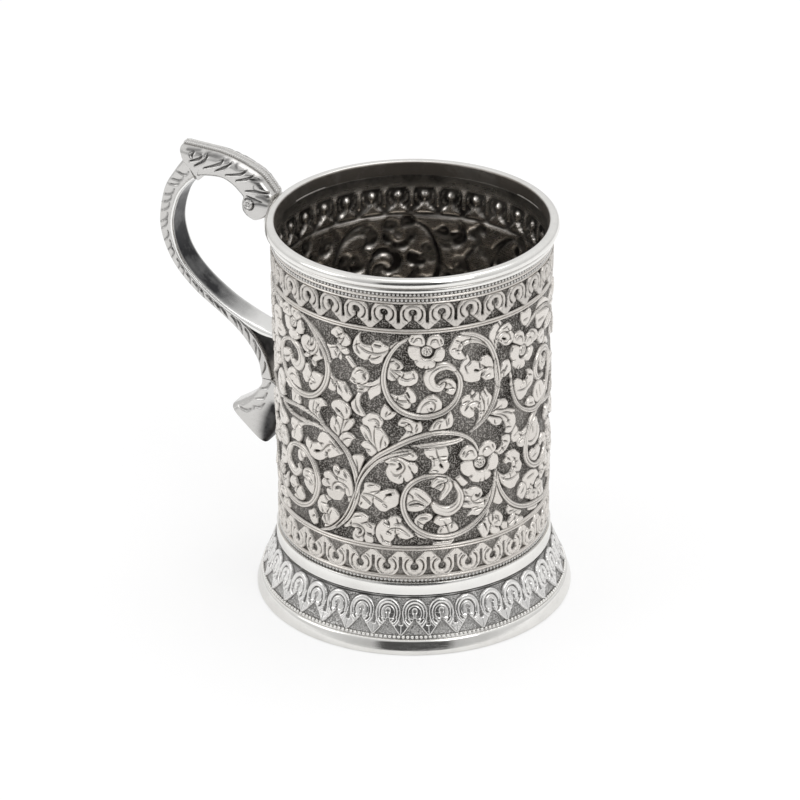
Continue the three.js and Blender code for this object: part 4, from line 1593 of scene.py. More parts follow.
@dataclass
class Drum:
    """The tapered drum: foliage, two borders, bead rows and a tarnished lining."""

    top_radius: float = 42.8
    bottom_radius: float = 41.9
    top: float = 123.5
    bottom: float = 14.5
    mean_radius: float = 43.03
    relief: float = 1.0
    ground: float = -0.5
    skin: float = 0.85
    columns: int = 720
    rows: int = 376
    slices: int = 6
    foliage: Foliage = field(default_factory=Foliage)
    lining_top: float = 120.9
    lining_bottom: float = 17.1
    lining_wall: float = 0.95
    lining_relief: float = 1.05
    lining_columns: int = 480
    lining_rows: int = 150

    shades = ((1.6, 3.6), (4.5, 2.1))  # spread and depth of the tarnish and painted shade beside forms, close and wide
    raised, bead_sink = (0.10, 0.42), 0.25
    band_step, band_faces, band_hollow, band_front = 0.11, 300, (-0.1, 0.45), 0.7
    lining_soft, lining_back, border_inset = 4.0, 0.8, 0.1
    lining_lines, line_spread, line_rise = (107.4, 33.4, 22.9), 0.5, 0.8
    lining_plain, lining_tarnish, plain_tarnish, most_tarnish = (112.6, 117.4), 0.42, 0.3, 0.9
    wear_soft, wear_depth = 3.0, 1.6
    # Each band: its edges, how far it stands out, and the height, half-width and rise of its lines
    bands = (
        ("upper_line", 106.5, 108.3, -0.45, ((107.75, 0.38, 0.75), (106.95, 0.38, 0.75))),
        ("lower_line", 32.45, 34.5, -0.45, ((33.9, 0.42, 0.75), (33.0, 0.42, 0.75))),
        ("bead_bed", 116.4, 120.6, -0.3, ((118.55, 0.42, 0.45), (116.75, 0.34, 0.45))),
        ("lower_bed", 20.9, 24.35, -0.15, ((24.1, 0.25, 0.4), (23.35, 0.4, 0.4))),
    )
    # Each row of beads: its height, how many, and a bead's radius
    bead_rows = (("upper_beads", 119.5, 216, 0.52), ("second_beads", 117.65, 216, 0.52),
                 ("lower_beads", 22.3, 210, 0.55))

    def radius_at(self, height: np.ndarray) -> np.ndarray:
        """Gives the wall's outer radius at a height, in millimetres."""
        share = (np.asarray(height, dtype=float) - self.bottom) / (self.top - self.bottom)
        return self.bottom_radius + (self.top_radius - self.bottom_radius) * share

    def borders(self) -> tuple[Border, Border]:
        """Gives the upper border and the lower one, which stands upside down."""
        return (Border("upper_border", self.radius_at, 108.25, 116.45, True, 0.2),
                Border("lower_border", self.radius_at, 24.3, 32.5, False, -0.2))

    def build_field(self, shop: Workshop) -> Panel:
        """Makes the foliage in closed slices.

        Args:
            shop: The workshop.

        Returns:
            The drawing that the slices were raised from.
        """
        panel = self.foliage.panel(self.columns, self.rows, self.mean_radius)
        fine = panel.height.reshape(self.rows, 2, self.columns, 2).mean(axis=(1, 3))
        form = np.hstack([fine, fine])[::-1]
        shades = [(blurred(form, spread, True) - form) * depth for spread, depth in self.shades]
        cavity = np.clip(np.maximum(*shades), 0.0, 1.0)
        relief = smooth_step(*self.raised, form)
        levels = np.linspace(self.foliage.bottom, self.foliage.top, self.rows)
        height = self.foliage.height_of(levels)[:, None]
        radius = self.radius_at(height)
        across = panel.across[0] + np.arange(2 * self.columns + 1) * panel.width / self.columns
        turn = FRONT + (across - self.foliage.middle) * self.foliage.unit / self.mean_radius
        count = 2 * self.columns // self.slices
        for number in range(self.slices):
            part = np.arange(number * count, (number + 1) * count + 1)
            wrapped = part % (2 * self.columns)
            wall = radius + self.ground + self.relief * form[:, wrapped]
            outer = round_axis(wall, height, turn[part][None, :])
            back = round_axis(radius[[0, -1]] - self.skin, height[[0, -1]], turn[part][None, :])
            piece = slab(f"foliage_slice_{number + 1}", outer, back, {
                "cavity": cavity[:, wrapped], "relief": relief[:, wrapped]})
            shop.dress(piece, CHASED, "chased_silver", "drum")
        return panel

    def band(self, name: str, low: float, high: float, base: float,
             lines: Sequence[tuple[float, float, float]]) -> Piece:
        """Makes a plain band with raised lines round it.

        Args:
            name: The band's name.
            low: Its lower edge.
            high: Its upper edge.
            base: How far the band stands out from the wall.
            lines: Height, half-width and rise of each line.

        Returns:
            The band.
        """
        height = np.linspace(low, high, max(8, int((high - low) / self.band_step)))
        rise = np.full(len(height), base)
        for level, half, lift in lines:
            rise += lift * dome((height - level) / half)
        levels = np.concatenate([[low], height, [high]])
        wall = self.radius_at(levels)
        radius = wall + np.concatenate([[-self.skin], rise, [-self.skin]])
        hollow = smooth_step(*self.band_hollow, wall - radius) * (radius > wall.mean() - self.band_front)
        return turned(name, np.stack([radius, levels], axis=-1), self.band_faces, 0.0, hollow)

    def build_bands(self, shop: Workshop) -> None:
        """Makes the borders, the lines and the bead rows.

        Args:
            shop: The workshop.
        """
        for border in self.borders():
            border.build(shop, CHASED, "drum")
        for band in self.bands:
            shop.dress(self.band(*band), CHASED, "chased_silver", "drum")
        for name, height, count, bead in self.bead_rows:
            radius = float(self.radius_at(height)) - self.bead_sink
            Beads(name, count, bead, HANDLE, "drum").in_ring(shop, radius, height)

    def build_lining(self, shop: Workshop, panel: Panel) -> None:
        """Makes the inside of the wall, which shows the chasing in reverse.

        Args:
            shop: The workshop.
            panel: The foliage drawing.
        """
        columns, rows, unit = self.lining_columns, self.lining_rows, self.foliage.unit
        height = np.linspace(self.lining_top, self.lining_bottom, rows)[:, None]
        turn = np.arange(columns)[None, :] * 2 * math.pi / columns
        across = (turn - FRONT) * self.mean_radius / unit + self.foliage.middle
        down = self.foliage.foot_level - height / unit
        form = panel.sample(*np.broadcast_arrays(across, down), blurred(panel.height, self.lining_soft, True))
        for border in self.borders():
            step = 2 * math.pi / border.count
            near = (np.mod(turn - FRONT + step / 2, step) - step / 2) * self.mean_radius / unit
            from_top = border.high - height if border.upright else height - border.low
            below_eye = from_top / border.unit - border.tall * border.eye_share
            arches = border.motif(*np.broadcast_arrays(near, below_eye))
            low, high = border.low + self.border_inset, border.high - self.border_inset
            form = np.where((height > low) & (height < high), arches, form)
        lines = sum(bell(height - level, self.line_spread) for level in self.lining_lines)
        form = np.clip(form + self.line_rise * lines, 0.0, 1.0)
        plain = smooth_step(*self.lining_plain, height)
        inner = self.radius_at(height) - self.lining_wall - self.lining_relief * (1 - form) * (1 - plain)
        draft = Draft()
        face = draft.add_points(round_axis(inner, height, turn))
        ends = height[[-1, 0]]
        rear = draft.add_points(round_axis(self.radius_at(ends) - self.lining_back, ends, turn))
        draft.add_quads(face, False, True, True, FACE_MAP)
        draft.add_quads(np.stack([face[-1], *rear, face[0]]), False, True, False, EDGE_MAP)
        wear = self.wear_depth * (form - blurred(form, self.wear_soft, True))
        worn = np.clip(self.lining_tarnish + wear + self.plain_tarnish * plain, 0.0, self.most_tarnish)
        piece = draft.build("lining", {"cavity": np.vstack([worn, np.zeros((2, columns))]),
                                       "relief": np.ones((rows + 2, columns))})
        shop.dress(piece, LINING, "chased_silver", "drum")


@dataclass
class Mouth:
    """The rolled rim, a little flat in front, with a plain band under it."""

    inner: float = 41.8
    band: float = 44.0
    bottom: float = 120.5
    band_edge: str = "-0.35,0 -0.05,0.2 0,0.55 -0.05,1.05 -0.28,1.35 -0.42,1.6"
    crease: float = 1.55
    roll_centre: Point = (43.54, 123.5)
    roll: float = 1.5
    flat: float = 0.09
    flat_angle: float = 18.0
    lip: float = 0.7

    roll_angles, flat_spread, faces, sway = (-62, 90, 18), 22.0, 360, 0.03
    # A dark line in the crease between the band and the roll: tarnish with a painted dark reflection
    crease_spread, crease_front, crease_tarnish = 0.28, 0.8, 0.9
    inside_radius, inside_height, inside_tarnish = (42.75, 42.2), (125.02, 124.7), 0.95

    def build(self, shop: Workshop) -> None:
        """Turns the rim.

        Args:
            shop: The workshop.
        """
        angle = np.linspace(*self.roll_angles)
        reach = self.roll - self.flat * bell(angle - self.flat_angle, self.flat_spread)
        across = self.roll_centre[0] + reach * np.cos(np.radians(angle))
        up = self.roll_centre[1] + reach * np.sin(np.radians(angle))
        lip_centre = (self.inner + self.lip, self.roll_centre[1] + self.roll - self.lip)
        section = np.array([
            (self.inner, self.bottom), *((self.band + u, self.bottom + z) for u, z in places(self.band_edge)),
            *zip(across, up), *arc(lip_centre, self.lip, 90, 180, 6)])
        radius, height = section.T
        crease = bell(height - self.bottom - self.crease, self.crease_spread)
        crease *= radius > self.band - self.crease_front
        inside = smooth_step(*self.inside_radius, radius) * smooth_step(*self.inside_height, height)
        tarnish = np.clip(self.crease_tarnish * crease + self.inside_tarnish * inside, 0, 1)
        piece = turned("rim_roll", section, self.faces, self.sway, tarnish)
        shop.dress(piece, POLISHED, "polished_silver", "rim")


@dataclass
class Foot:
    """The spreading foot: collar, bordered skirt and polished ring."""

    neck: Point = (43.12, 17.5)
    hem: Point = (48.3, 4.75)
    flare: float = 1.1
    wall: float = 1.0
    recess: float = 0.65  # how far the skirt lies in behind its border
    bead_height: float = 5.55
    bead_sink: float = 0.3
    bead_count: int = 216
    bead: float = 0.58
    collar: str = "42.1,17.7 42.95,17.7 43.08,17.85 43.04,19.2 42.97,21.5 42.8,21.75 42.1,21.75"
    ring_sole: str = "46,0 48.9,0"
    ring_toe: float = 0.6
    ring_face: str = "49.46,1 49.28,1.7 49.03,2.5 48.76,3.3 48.48,4.1 48.25,4.5 47.9,4.75 46,4.8"

    faces, ring_faces, collar_sway, ring_sway = 300, 360, 0.02, 0.025
    lip, groove, groove_depth = (16.65, 16.95), (17.0, 0.3), 0.25  # where the skirt meets the collar
    shadow, outer_depth, inner_tarnish = (16.5, 0.7), 0.8, 0.3

    def skirt_radius(self, height: np.ndarray) -> np.ndarray:
        """Gives the skirt's outer radius at a height, in millimetres."""
        share = (self.neck[1] - np.asarray(height, dtype=float)) / (self.neck[1] - self.hem[1])
        waist = (self.neck[0] + self.hem[0]) / 2 - self.flare
        return (1 - share) ** 2 * self.neck[0] + 2 * share * (1 - share) * waist + share ** 2 * self.hem[0]

    def build(self, shop: Workshop) -> None:
        """Makes the collar, the skirt with its arches and beads, and the ring.

        Args:
            shop: The workshop.
        """
        collar = turned("collar_band", places(self.collar), self.faces, self.collar_sway)
        shop.dress(collar, POLISHED, "polished_silver", "collar")
        height = np.linspace(self.hem[1], self.neck[1], 26)
        lip = smooth_step(*self.lip, height) * self.recess
        level, spread = self.groove
        groove = self.groove_depth * bell(height - level, spread)
        outer = self.skirt_radius(height) - self.recess + lip - groove
        inner = self.skirt_radius(height) - self.wall
        section = np.array([*zip(outer, height), *zip(inner[::-1], height[::-1])])
        outside = section[:, 0] > self.skirt_radius(section[:, 1]) - self.outer_depth
        level, spread = self.shadow
        hollow = np.where(outside, bell(section[:, 1] - level, spread), self.inner_tarnish)
        skirt = turned("skirt_shell", section, self.faces, 0.0, hollow)
        shop.dress(skirt, HANDLE, "chased_silver", "foot_skirt")
        Border("foot_border", self.skirt_radius, 6.1, 16.7, count=34, motif=bold_motif, unit=0.1,
               eye_share=0.415, tall=97.0, rows=47).build(shop, FOOT, "foot_skirt")
        radius = float(self.skirt_radius(self.bead_height)) - self.bead_sink
        beads = Beads("foot_beads", self.bead_count, self.bead, POLISHED, "foot_skirt")
        beads.in_ring(shop, radius, self.bead_height)
        sole = places(self.ring_sole)
        toe = arc((sole[-1][0], self.ring_toe), self.ring_toe, -90, 0, 5)
        section = [*sole, *toe, *places(self.ring_face)]
        ring = turned("foot_ring_band", section, self.ring_faces, self.ring_sway)
        shop.dress(ring, POLISHED, "polished_silver", "foot_ring")
        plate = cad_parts["base_plate"]
        plate.data.materials.clear()
        plate.data.materials.append(shop.material(LINING))


@dataclass
class Bar:
    """One bar of the handle, between its left and right edges seen with the drum to the right."""

    name: str
    left: np.ndarray
    right: np.ndarray
    start_width: float
    end_width: float
    squareness: float
    around: int = 72
    # Painted shade and painted dark reflection along one edge face: share along the bar and how dark it is
    # there
    grip: Sequence[Point] = ((0.0, 0.0), (1.0, 0.0))

    worked_face, stained_face = (0.25, 0.75), (0.05, 0.4)  # how far a face looks sideways
    # Where the painted shade and reflection lie across the edge face, and how sharply they end
    held_edge, held_power = (0.6, 0.95), 5
    soft_spread, soft_tarnish, cut_tarnish = 2.0, 1.1, 0.95
    sharp = math.radians(50)

    def section(self) -> tuple[np.ndarray, np.ndarray]:
        """Gives even steps round the bar's rounded oblong.

        Returns:
            Shares towards the left edge and towards +Y, each from -1 to 1.
        """
        angle = np.linspace(0.0, 2 * math.pi, 1441)
        power = 2 / self.squareness
        lift = np.sign(np.sin(angle)) * np.abs(np.sin(angle)) ** power
        side = np.sign(np.cos(angle)) * np.abs(np.cos(angle)) ** power
        depth = np.hypot(*(self.left - self.right).T).mean()
        width = (self.start_width + self.end_width) / 2
        run = np.concatenate([[0], np.cumsum(np.hypot(np.diff(lift) * depth, np.diff(side) * width))])
        even = np.linspace(0.0, run[-1], self.around, endpoint=False)
        return np.interp(even, run, lift), np.interp(even, run, side)

    def build(self, raised: Panel, cut: Panel, stain: Panel, raise_by: float = 0.0,
              cut_by: float = 0.0) -> Piece:
        """Lofts the bar and works its side faces.

        Args:
            raised: Forms that stand out of the side faces.
            cut: Lines that are cut into them.
            stain: Painted shade and painted dark reflections on them.
            raise_by: Height of the raised forms in millimetres.
            cut_by: Depth of the cut lines in millimetres.

        Returns:
            The bar.
        """
        lift, side = self.section()
        middle = (self.left + self.right) / 2
        out = middle[:, None, :] + (self.left - middle)[:, None, :] * lift[None, :, None]
        width = np.linspace(self.start_width, self.end_width, len(middle))[:, None]
        places = np.stack([AXIS_X - out[..., 0], width / 2 * side[None, :], out[..., 1]], axis=-1)
        along = np.gradient(places, axis=0)
        around = (np.roll(places, -1, axis=1) - np.roll(places, 1, axis=1)) / 2
        normal = np.cross(around, along)
        normal /= np.maximum(np.linalg.norm(normal, axis=-1, keepdims=True), 1e-9)
        face = smooth_step(*self.worked_face, np.abs(normal[..., 1]))
        high = raised.sample(out[..., 0], -out[..., 1]) * face
        deep = cut.sample(out[..., 0], -out[..., 1]) * face
        moved = places + normal * (raise_by * high - cut_by * deep)[..., None]
        soft = blurred(high, self.soft_spread, True)
        share = np.linspace(0.0, 1.0, len(middle))[:, None]
        # Painted shade and painted dark reflection down one edge face of the bar, by share along it
        worn = np.interp(share, *np.array(self.grip).T)
        held = worn * (smooth_step(*self.held_edge, lift) * (1.0 - np.abs(side) ** self.held_power))[None, :]
        # Painted shade and painted dark reflections from the drawing of dark patches, on the side faces
        dull = smooth_step(*self.stained_face, np.abs(normal[..., 1]))
        dull = stain.sample(out[..., 0], -out[..., 1]) * dull
        edged = self.soft_tarnish * np.clip(soft - high, 0, 1)
        cavity = np.clip(np.maximum(self.cut_tarnish * deep, dull) + edged + held, 0, 1)
        draft = Draft()
        grid = draft.add_points(moved)
        draft.add_quads(grid, False, True, True)
        draft.add_cap(grid[0][::-1])
        draft.add_cap(grid[-1])
        piece = draft.build(self.name, {"cavity": cavity, "relief": np.ones(cavity.shape)})
        piece.data.set_sharp_from_angle(angle=self.sharp)
        return piece


def beside(edge: np.ndarray, distance: np.ndarray | float) -> np.ndarray:
    """Moves an edge to the right of its own direction, seen with the drum to the right.

    Args:
        edge: Distance from the axis and height of each place.
        distance: How far, the same or one for each place.

    Returns:
        The moved edge.
    """
    along = np.gradient(edge, axis=0)
    along /= np.hypot(along[:, 0], along[:, 1])[:, None]
    aside = np.stack([-along[:, 1], along[:, 0]], axis=-1)
    return edge + aside * np.reshape(distance, (-1, 1))


@dataclass
class Handle:
    """The scroll handle with its strap, tail and bird's head."""

    width: float = 9.7
    tail_width: float = 11.0
    neck_width: float = 9.2
    head_width: float = 10.0
    crest_width: float = 2.6
    strap: float = 1.2
    gap: float = -0.6
    steps: int = 20
    scroll_outer: str = ("75.9,132.6 79.9,127.15 83.7,120.3 85.5,109.6 84,101.7 80,94.2 73.2,87.3 64.5,81.3"
                         " 58.8,76.8 54.8,72.4 51.7,67.2 50.8,62")
    finger: str = ("72.2,125.7 75.1,123 78.4,118 80.5,109.6 79.4,102 76.3,95.9 70.8,90.1 63.3,84.7 57.2,81.5")
    spur: str = "57.2,81.5 50,78.9 42.62,77.6"
    fork: str = "52.6,76.4 48.8,70 46.5,62"
    tail_outer: str = "50.8,61.8 51.2,59.3 52.7,57 55.2,54.2 58.5,51.8 61.6,49.8"
    tail_back: str = "46.5,61.8 42.5,59 42.45,54 44.2,49.6 46.2,44.2 49.5,38.8"
    crest_top: str = ("77.5,136.4 73,136.25 69,136.05 64.9,135.8 60.8,135 56.8,133.8 53.4,132.4 50,130.6"
                      " 47.5,128 45.24,125.26")
    throat: str = ("72.2,126.1 67.5,127 63,127.1 59.7,125.6 57.4,123.5 56.3,122.1 56.8,120.8 57.1,119.6"
                   " 56.8,117.9 55.6,116.7 53.8,116.2 52.3,116.1")
    breast: str = "45.3,121.6 46.2,119 48.2,117.2 50.3,116.4"
    feathers: str = """
        69.8,134 71.1,132.8 73.8,131.7; 67.9,134.2 69.2,132.5 72.2,130.4; 62.3,134.4 63.8,132.5 68.9,130.3;
        59.9,133.3 62.1,131.6 64.9,130.1; 54.1,132.2 56.7,130.4 61.3,129.4; 52.2,130.6 54.5,129.2 57.7,128.2;
        48.6,129.2 50.6,129.6 53.1,129.4; 72.6,134.9 73.3,133.8 73,132.9; 60.4,135.3 61.6,134.8 62.4,134.2;
        58,134.6 59.2,134 59.9,133.3; 67,135.6 67.9,135 68.2,134.2; 54.5,125.3 51.3,125.7 46.9,125.6;
        54.1,123.7 51.4,122.9 49,122.5"""
    tail_marks: str = """
        47.2,60.9 48.5,58.9 51,58; 48.4,57.1 49.7,55.1 52.5,54.3; 49.4,53.4 50.8,51.7 53.3,51.5;
        53,50.9 55.9,49.6 58.4,50.2"""
    # Painted shade and painted dark reflections on the neck and head: places along each patch, each with its
    # half-width
    shaded: str = """
        75,135.2,0.35 72.9,135.2,0.55 70.8,135.4,0.35; 71.6,134.6,0.4 70.3,134.5,0.6 69.8,134,0.35;
        67,135.5,0.35 68.4,134.9,0.5 69.1,134.2,0.3; 67.2,134.6,0.55 64.9,134.7,1 62.8,134.9,0.75;
        59,135,0.4 60.8,134.3,0.7 61.8,133.8,0.35; 57.3,133.9,0.7 58,133.1,0.55 57.5,132.3,0.3;
        52.3,129.2,0.5 50.9,129.3,0.95 49.5,129.2,0.6; 51.6,127.7,0.2 51.5,126.6,0.25 49.9,126.1,0.25;
        50.7,124.2,0.4 48.6,124.1,0.95 46.9,123.2,0.75; 51.8,121.4,0.4 49.7,121.9,0.7 47.3,121.6,0.45"""
    # Painted shade in the tail's concave hollow: places along it, each with its half-width
    scoop: str = "46.2,53,1.4 47.2,48,2.9 48.3,43.4,2.8 48.6,40,1.6"

    eye, eye_crest, eye_rings = (53.7, -121.0), 0.9, ((1.25, 0.4), (0.01, 0.5))
    socket, socket_half, socket_depth = 1.85, 0.24, 0.6
    eye_moat, cut_moat, shade_depth, scoop_depth = 0.35, 0.25, 0.7, 1.2
    feather_cut, tail_cut = ((0.2, 0.46, 0.2), 0.85), ((0.2, 0.4, 0.2), 0.6)  # half-widths and depth
    # Chisel marks: first place, distance left at the end and step, then each point's share across and lead
    mark_run, mark_sway, mark_beat = (3.0, 2.5, 3.35), 0.5, 2.4
    mark = ((0.66, -1.3), (0.66, 0.0), (0.50, 1.2), (0.14, 2.4))
    mark_halves, mark_depth = (0.17, 0.33, 0.15), 0.68
    crest_beads, crest_bead, bead_side, bead_sink, bead_run = 52, 0.52, 0.95, 0.22, slice(3, -6)
    # Share along a bar and how dark its outer edge is painted there, as painted shade and painted dark
    # reflection
    scroll_grip, tail_grip = "0,0 0.72,0 0.8,1.3 0.9,1.2 1,0.1", "0,0.1 0.35,0.9 0.7,1.3 1,1.1"
    strap_grip = "0,0.45 0.1,0.9 0.28,1.3 0.55,1.3 0.72,0.7 0.86,0.1 1,0"
    scroll_inset, strap_inset, drum_side, joint_drops = 0.6, 0.4, 42.45, (2.4, 1.2)
    spur_start, spur_share, spur_swell, nape_depth, crest_depth = 0.8, 0.2, 1.2, 0.5, 1.5

    def eye_ring(self, radius: float) -> np.ndarray:
        """Gives a circle round the bird's eye, on the handle's plane."""
        turn = np.linspace(0.0, 2 * math.pi, 25)
        return np.array(self.eye) + radius * np.stack([np.cos(turn), np.sin(turn)], axis=-1)

    @staticmethod
    def plane(moat: float, columns: int = 420, rows: int = 920) -> Panel:
        """Starts a drawing on the handle's plane: distance from the axis across, and height upside down."""
        return Panel(40.0, -140.0, 50.0, 110.0, columns, rows, False, moat)

    def raised_forms(self) -> Panel:
        """Draws the bird's ringed eye."""
        panel = self.plane(self.eye_moat)
        for radius, half in self.eye_rings:
            ring = self.eye_ring(radius)
            panel.draw(Stroke(ring, np.full(len(ring), half), np.full(len(ring), self.eye_crest)))
        return panel

    def stains(self) -> Panel:
        """Draws the painted shade in the hollows and the painted dark reflections on the neck."""
        panel = self.plane(self.cut_moat)
        shades = [(line, self.shade_depth) for line in lines_of(self.shaded)]
        for line, depth in (*shades, (places(self.scoop), self.scoop_depth)):
            panel.press(Leaf.line([(u, -z, half) for u, z, half in line], depth))
        return panel

    def cut_lines(self, outer: np.ndarray, inner: np.ndarray) -> Panel:
        """Draws the feathers and the chisel marks, on the handle's plane.

        Args:
            outer: The scroll's outer edge.
            inner: The scroll's inner edge, station for station.

        Returns:
            The drawing.
        """
        panel = self.plane(self.cut_moat)
        for listed, (halves, depth) in ((self.feathers, self.feather_cut), (self.tail_marks, self.tail_cut)):
            for line in lines_of(listed):
                panel.press(Leaf.line([(u, -z, half) for (u, z), half in zip(line, halves)], depth))
        panel.press(Leaf.line(self.eye_ring(self.socket), self.socket_depth, self.socket_half))
        run = np.concatenate([[0], np.cumsum(np.hypot(*np.diff(outer, axis=0).T))])
        first, left, step = self.mark_run
        for number, even in enumerate(np.arange(first, run[-1] - left, step)):
            place = even + self.mark_sway * math.sin(self.mark_beat * number)
            edge, ahead, facing = (
                np.array([np.interp(where, run, line[:, axis]) for axis in (0, 1)])
                for where, line in ((place, outer), (place + 0.6, outer), (place, inner)))
            along = (ahead - edge) / max(np.hypot(*(ahead - edge)), 1e-6)
            across = facing - edge
            depth = np.hypot(*across)
            across = across / max(depth, 1e-6)
            marks = [edge + across * depth * share + along * lead for share, lead in self.mark]
            path = through([(u, -z) for u, z in marks], 5)
            width = np.interp(np.linspace(0, 1, len(path)), [0, 0.5, 1], self.mark_halves)
            panel.press(Stroke(path, width, np.full(len(path), self.mark_depth)))
        return panel

    def build(self, shop: Workshop) -> None:
        """Makes the five bars of the handle and the beads on its crest.

        Args:
            shop: The workshop.
        """
        steps = self.steps
        finger = through(places(self.finger), steps)
        strap_side = beside(finger, self.strap + self.gap)
        fork = through([tuple(strap_side[-1]), *places(self.fork)], steps)
        inner = np.vstack([strap_side, fork[1:]])
        outer = through(places(self.scroll_outer), steps)
        tail_outer = through(places(self.tail_outer), steps)
        tail_back = through(places(self.tail_back), steps)
        tail_back[:, 0] = np.maximum(tail_back[:, 0], self.drum_side)
        raised = self.raised_forms()
        cut = self.cut_lines(outer, inner)
        stain = self.stains()
        blank = self.plane(1.0, 8, 8)
        scroll = Bar("scroll_bar", inner, outer, self.neck_width - self.scroll_inset, self.width,
                     squareness=6.0, around=88, grip=places(self.scroll_grip))
        shop.dress(scroll.build(blank, cut, stain, cut_by=0.7), HANDLE, "chased_silver", "handle_scroll")
        run = np.vstack([finger, through(places(self.spur), steps)[1:]])
        share = np.clip((np.linspace(0, 1, len(run)) - self.spur_start) / self.spur_share, 0, 1)
        thick = self.strap + self.spur_swell * np.sin(math.pi * share)
        strap = Bar("finger_strap", run, beside(run, thick), self.neck_width - self.strap_inset, self.width,
                    squareness=4.0, grip=places(self.strap_grip))
        shop.dress(strap.build(blank, blank, blank), STRAP, "polished_silver", "handle_strap")
        tail = Bar("tail_scoop", tail_back, tail_outer, self.width, self.tail_width, squareness=4.5,
                   around=80, grip=places(self.tail_grip))
        shop.dress(tail.build(blank, cut, stain, cut_by=0.8), HANDLE, "chased_silver", "handle_tail")
        crest = through(places(self.crest_top), steps)
        nape = beside(crest, self.nape_depth)
        breast = through([tuple(nape[-1]), *places(self.breast)], steps)
        joint_outer, joint_inner = (
            edge[0] - (0.0, drop) for edge, drop in zip((outer, finger), self.joint_drops))
        joint = joint_outer + (joint_inner - joint_outer) * np.linspace(0, 1, 2 * steps + 1)[:, None]
        throat = through(places(self.throat), steps)
        neck = Bar("neck_and_head", np.vstack([nape, breast[1:]]), np.vstack([joint, throat[1:]]),
                   self.neck_width, self.head_width, squareness=3.4, around=128)
        worked = neck.build(raised, cut, stain, raise_by=0.4, cut_by=0.85)
        shop.dress(worked, HANDLE, "chased_silver", "bird_neck")
        strip = Bar("crest_strip", crest, beside(crest, self.crest_depth), self.crest_width, self.crest_width,
                    squareness=5.0, around=28)
        shop.dress(strip.build(blank, blank, blank), HANDLE, "chased_silver", "neck_crest")
        for name, side in (("crest_beads_near", -self.bead_side), ("crest_beads_far", self.bead_side)):
            level = crest[:, 1] - self.bead_sink
            line = np.stack([AXIS_X - crest[:, 0], np.full(len(crest), side), level], axis=-1)
            Beads(name, self.crest_beads, self.crest_bead, HANDLE, "neck_crest").along(
                shop, line[self.bead_run])


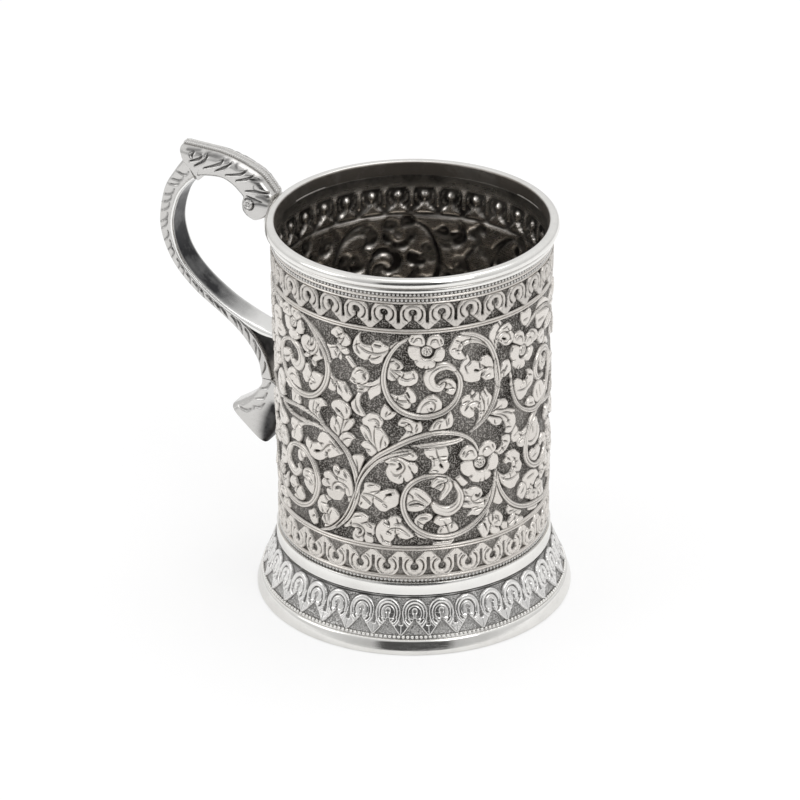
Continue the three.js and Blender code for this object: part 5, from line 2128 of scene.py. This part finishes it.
@dataclass
class Studio:
    """A plain pale floor, soft light and the camera."""

    azimuth: float = 26.0
    distance: float = 1235.27
    height: float = 696.39
    pitch: float = 0.4739
    lens: float = 201.6
    aside: float = -4.01
    roll: float = -0.0079

    # Each lamp: its place and side in metres, and its power in watts
    lamps = (("key_lamp", (0.9, -0.5, 0.9), 0.6, 2.4), ("fill_lamp", (-0.7, -0.6, 0.6), 0.6, 1.2),
             ("top_lamp", (0.1, 0.3, 1.1), 0.7, 1.6))
    lamp_aim = 0.07
    floor_reach, floor_grey, floor_white = 3.0, 0.9, 0.6
    # How the mirrored room dims towards the camera, close round it and low down
    dim_way, dim_broad, dim_narrow = (0.985, 0.17), (0.4, 0.85, 1.0, 0.72), (0.875, 0.925, 1.0, 0.14)
    dim_low = (0.1, 0.8, 0.75, 1.0)

    def add_camera(self) -> None:
        """Puts the camera at the photograph's angle."""
        turn = math.radians(self.azimuth)
        right = Vector((math.cos(turn), math.sin(turn), 0.0))
        ahead = Vector((-math.sin(turn) * math.cos(self.pitch), math.cos(turn) * math.cos(self.pitch),
                        -math.sin(self.pitch)))
        up = right.cross(ahead)
        level_right = right
        right = level_right * math.cos(self.roll) + up * math.sin(self.roll)
        up = up * math.cos(self.roll) - level_right * math.sin(self.roll)
        away = Vector((math.sin(turn), -math.cos(turn), 0.0)) * self.distance
        place = Vector((AXIS_X, 0.0, self.height)) + away + level_right * self.aside
        camera = bpy.data.cameras.new("camera")
        camera.lens = self.lens
        camera.sensor_width = 36.0
        camera.clip_end = 10.0
        holder = put_in_scene("camera", camera)
        axes = Matrix((right, up, -ahead)).transposed()
        holder.matrix_world = Matrix.Translation(place * MM) @ axes.to_4x4()
        bpy.context.scene.camera = holder

    def add_floor(self) -> None:
        """Lays a white floor that keeps the object's shadow."""
        mesh = bpy.data.meshes.new("floor")
        reach = self.floor_reach
        corners = [(-reach, -reach, 0.0), (reach, -reach, 0.0), (reach, reach, 0.0), (-reach, reach, 0.0)]
        mesh.from_pydata(corners, [], [(0, 1, 2, 3)])
        floor = put_in_scene("floor", mesh)
        material = bpy.data.materials.new("pale_floor")
        desk = bare_desk(material)
        path = desk.add("ShaderNodeLightPath")
        seen = path.outputs["Is Camera Ray"]
        matt = desk.add("ShaderNodeBsdfDiffuse", None, {"Color": (*[self.floor_grey] * 3, 1.0)})
        white = desk.add("ShaderNodeEmission", None, {"Color": (1.0, 1.0, 1.0, 1.0), "Strength": 1.0})
        share = desk.maths("MULTIPLY", seen, self.floor_white)
        mixed = desk.add("ShaderNodeMixShader", None, {0: share, 1: matt.outputs[0], 2: white.outputs[0]})
        desk.add("ShaderNodeOutputMaterial", None, {"Surface": mixed.outputs[0]})
        mesh.materials.append(material)

    def add_world(self) -> None:
        """Surrounds the scene with white that fades to grey low down and towards the camera."""
        world = bpy.data.worlds.new("studio")
        bpy.context.scene.world = world
        desk = bare_desk(world)
        path = desk.add("ShaderNodeLightPath")
        way = desk.add("ShaderNodeTexCoord").outputs["Generated"]
        turn = math.radians(self.azimuth)
        flat, up = self.dim_way
        towards = desk.add("ShaderNodeVectorMath", {"operation": "DOT_PRODUCT"}, {
            0: way, 1: (flat * math.sin(turn), -flat * math.cos(turn), up)})
        broad = desk.ranged(towards.outputs["Value"], *self.dim_broad)
        narrow = desk.ranged(towards.outputs["Value"], *self.dim_narrow)
        front = desk.maths("MULTIPLY", broad, narrow)
        rise = desk.add("ShaderNodeSeparateXYZ", None, {0: way}).outputs["Z"]
        room = desk.maths("MULTIPLY", front, desk.ranged(rise, *self.dim_low))
        mirrored = desk.maths("ADD", path.outputs["Is Glossy Ray"], path.outputs["Is Transmission Ray"], True)
        direct = desk.maths("SUBTRACT", 1.0, mirrored)
        level = desk.maths("ADD", desk.maths("MULTIPLY", mirrored, room), direct)
        level = desk.maths("MAXIMUM", level, path.outputs["Is Camera Ray"])
        sky = desk.add("ShaderNodeBackground", None, {"Color": (1.0, 1.0, 1.0, 1.0), "Strength": level})
        desk.add("ShaderNodeOutputWorld", None, {"Surface": sky.outputs[0]})

    def add_lamp(self, name: str, place: Vector, size: float, power: float) -> None:
        """Hangs one soft lamp that faces the tankard.

        Args:
            name: The lamp's name.
            place: Where it hangs, in metres.
            size: Its side in metres.
            power: Its power in watts.
        """
        lamp = bpy.data.lights.new(name, "AREA")
        lamp.shape = "SQUARE"
        lamp.size = size
        lamp.energy = power
        holder = put_in_scene(name, lamp)
        aim = Vector((AXIS_X * MM, 0.0, self.lamp_aim)) - place
        holder.matrix_world = Matrix.Translation(place) @ aim.to_track_quat("-Z", "Y").to_matrix().to_4x4()

    def build(self) -> None:
        """Sets the whole scene up."""
        self.add_camera()
        self.add_floor()
        self.add_world()
        for name, place, size, power in self.lamps:
            self.add_lamp(name, Vector(place), size, power)
        bpy.context.scene.view_settings.view_transform = "Standard"


def main() -> None:
    """Builds the tankard piece by piece."""
    logging.basicConfig(level=logging.INFO, format="%(name)s: %(message)s")
    Studio().build()
    shop = Workshop()
    drum = Drum()
    panel = drum.build_field(shop)
    drum.build_bands(shop)
    drum.build_lining(shop, panel)
    Mouth().build(shop)
    Foot().build(shop)
    Handle().build(shop)


if __name__ == "__main__":
    main()
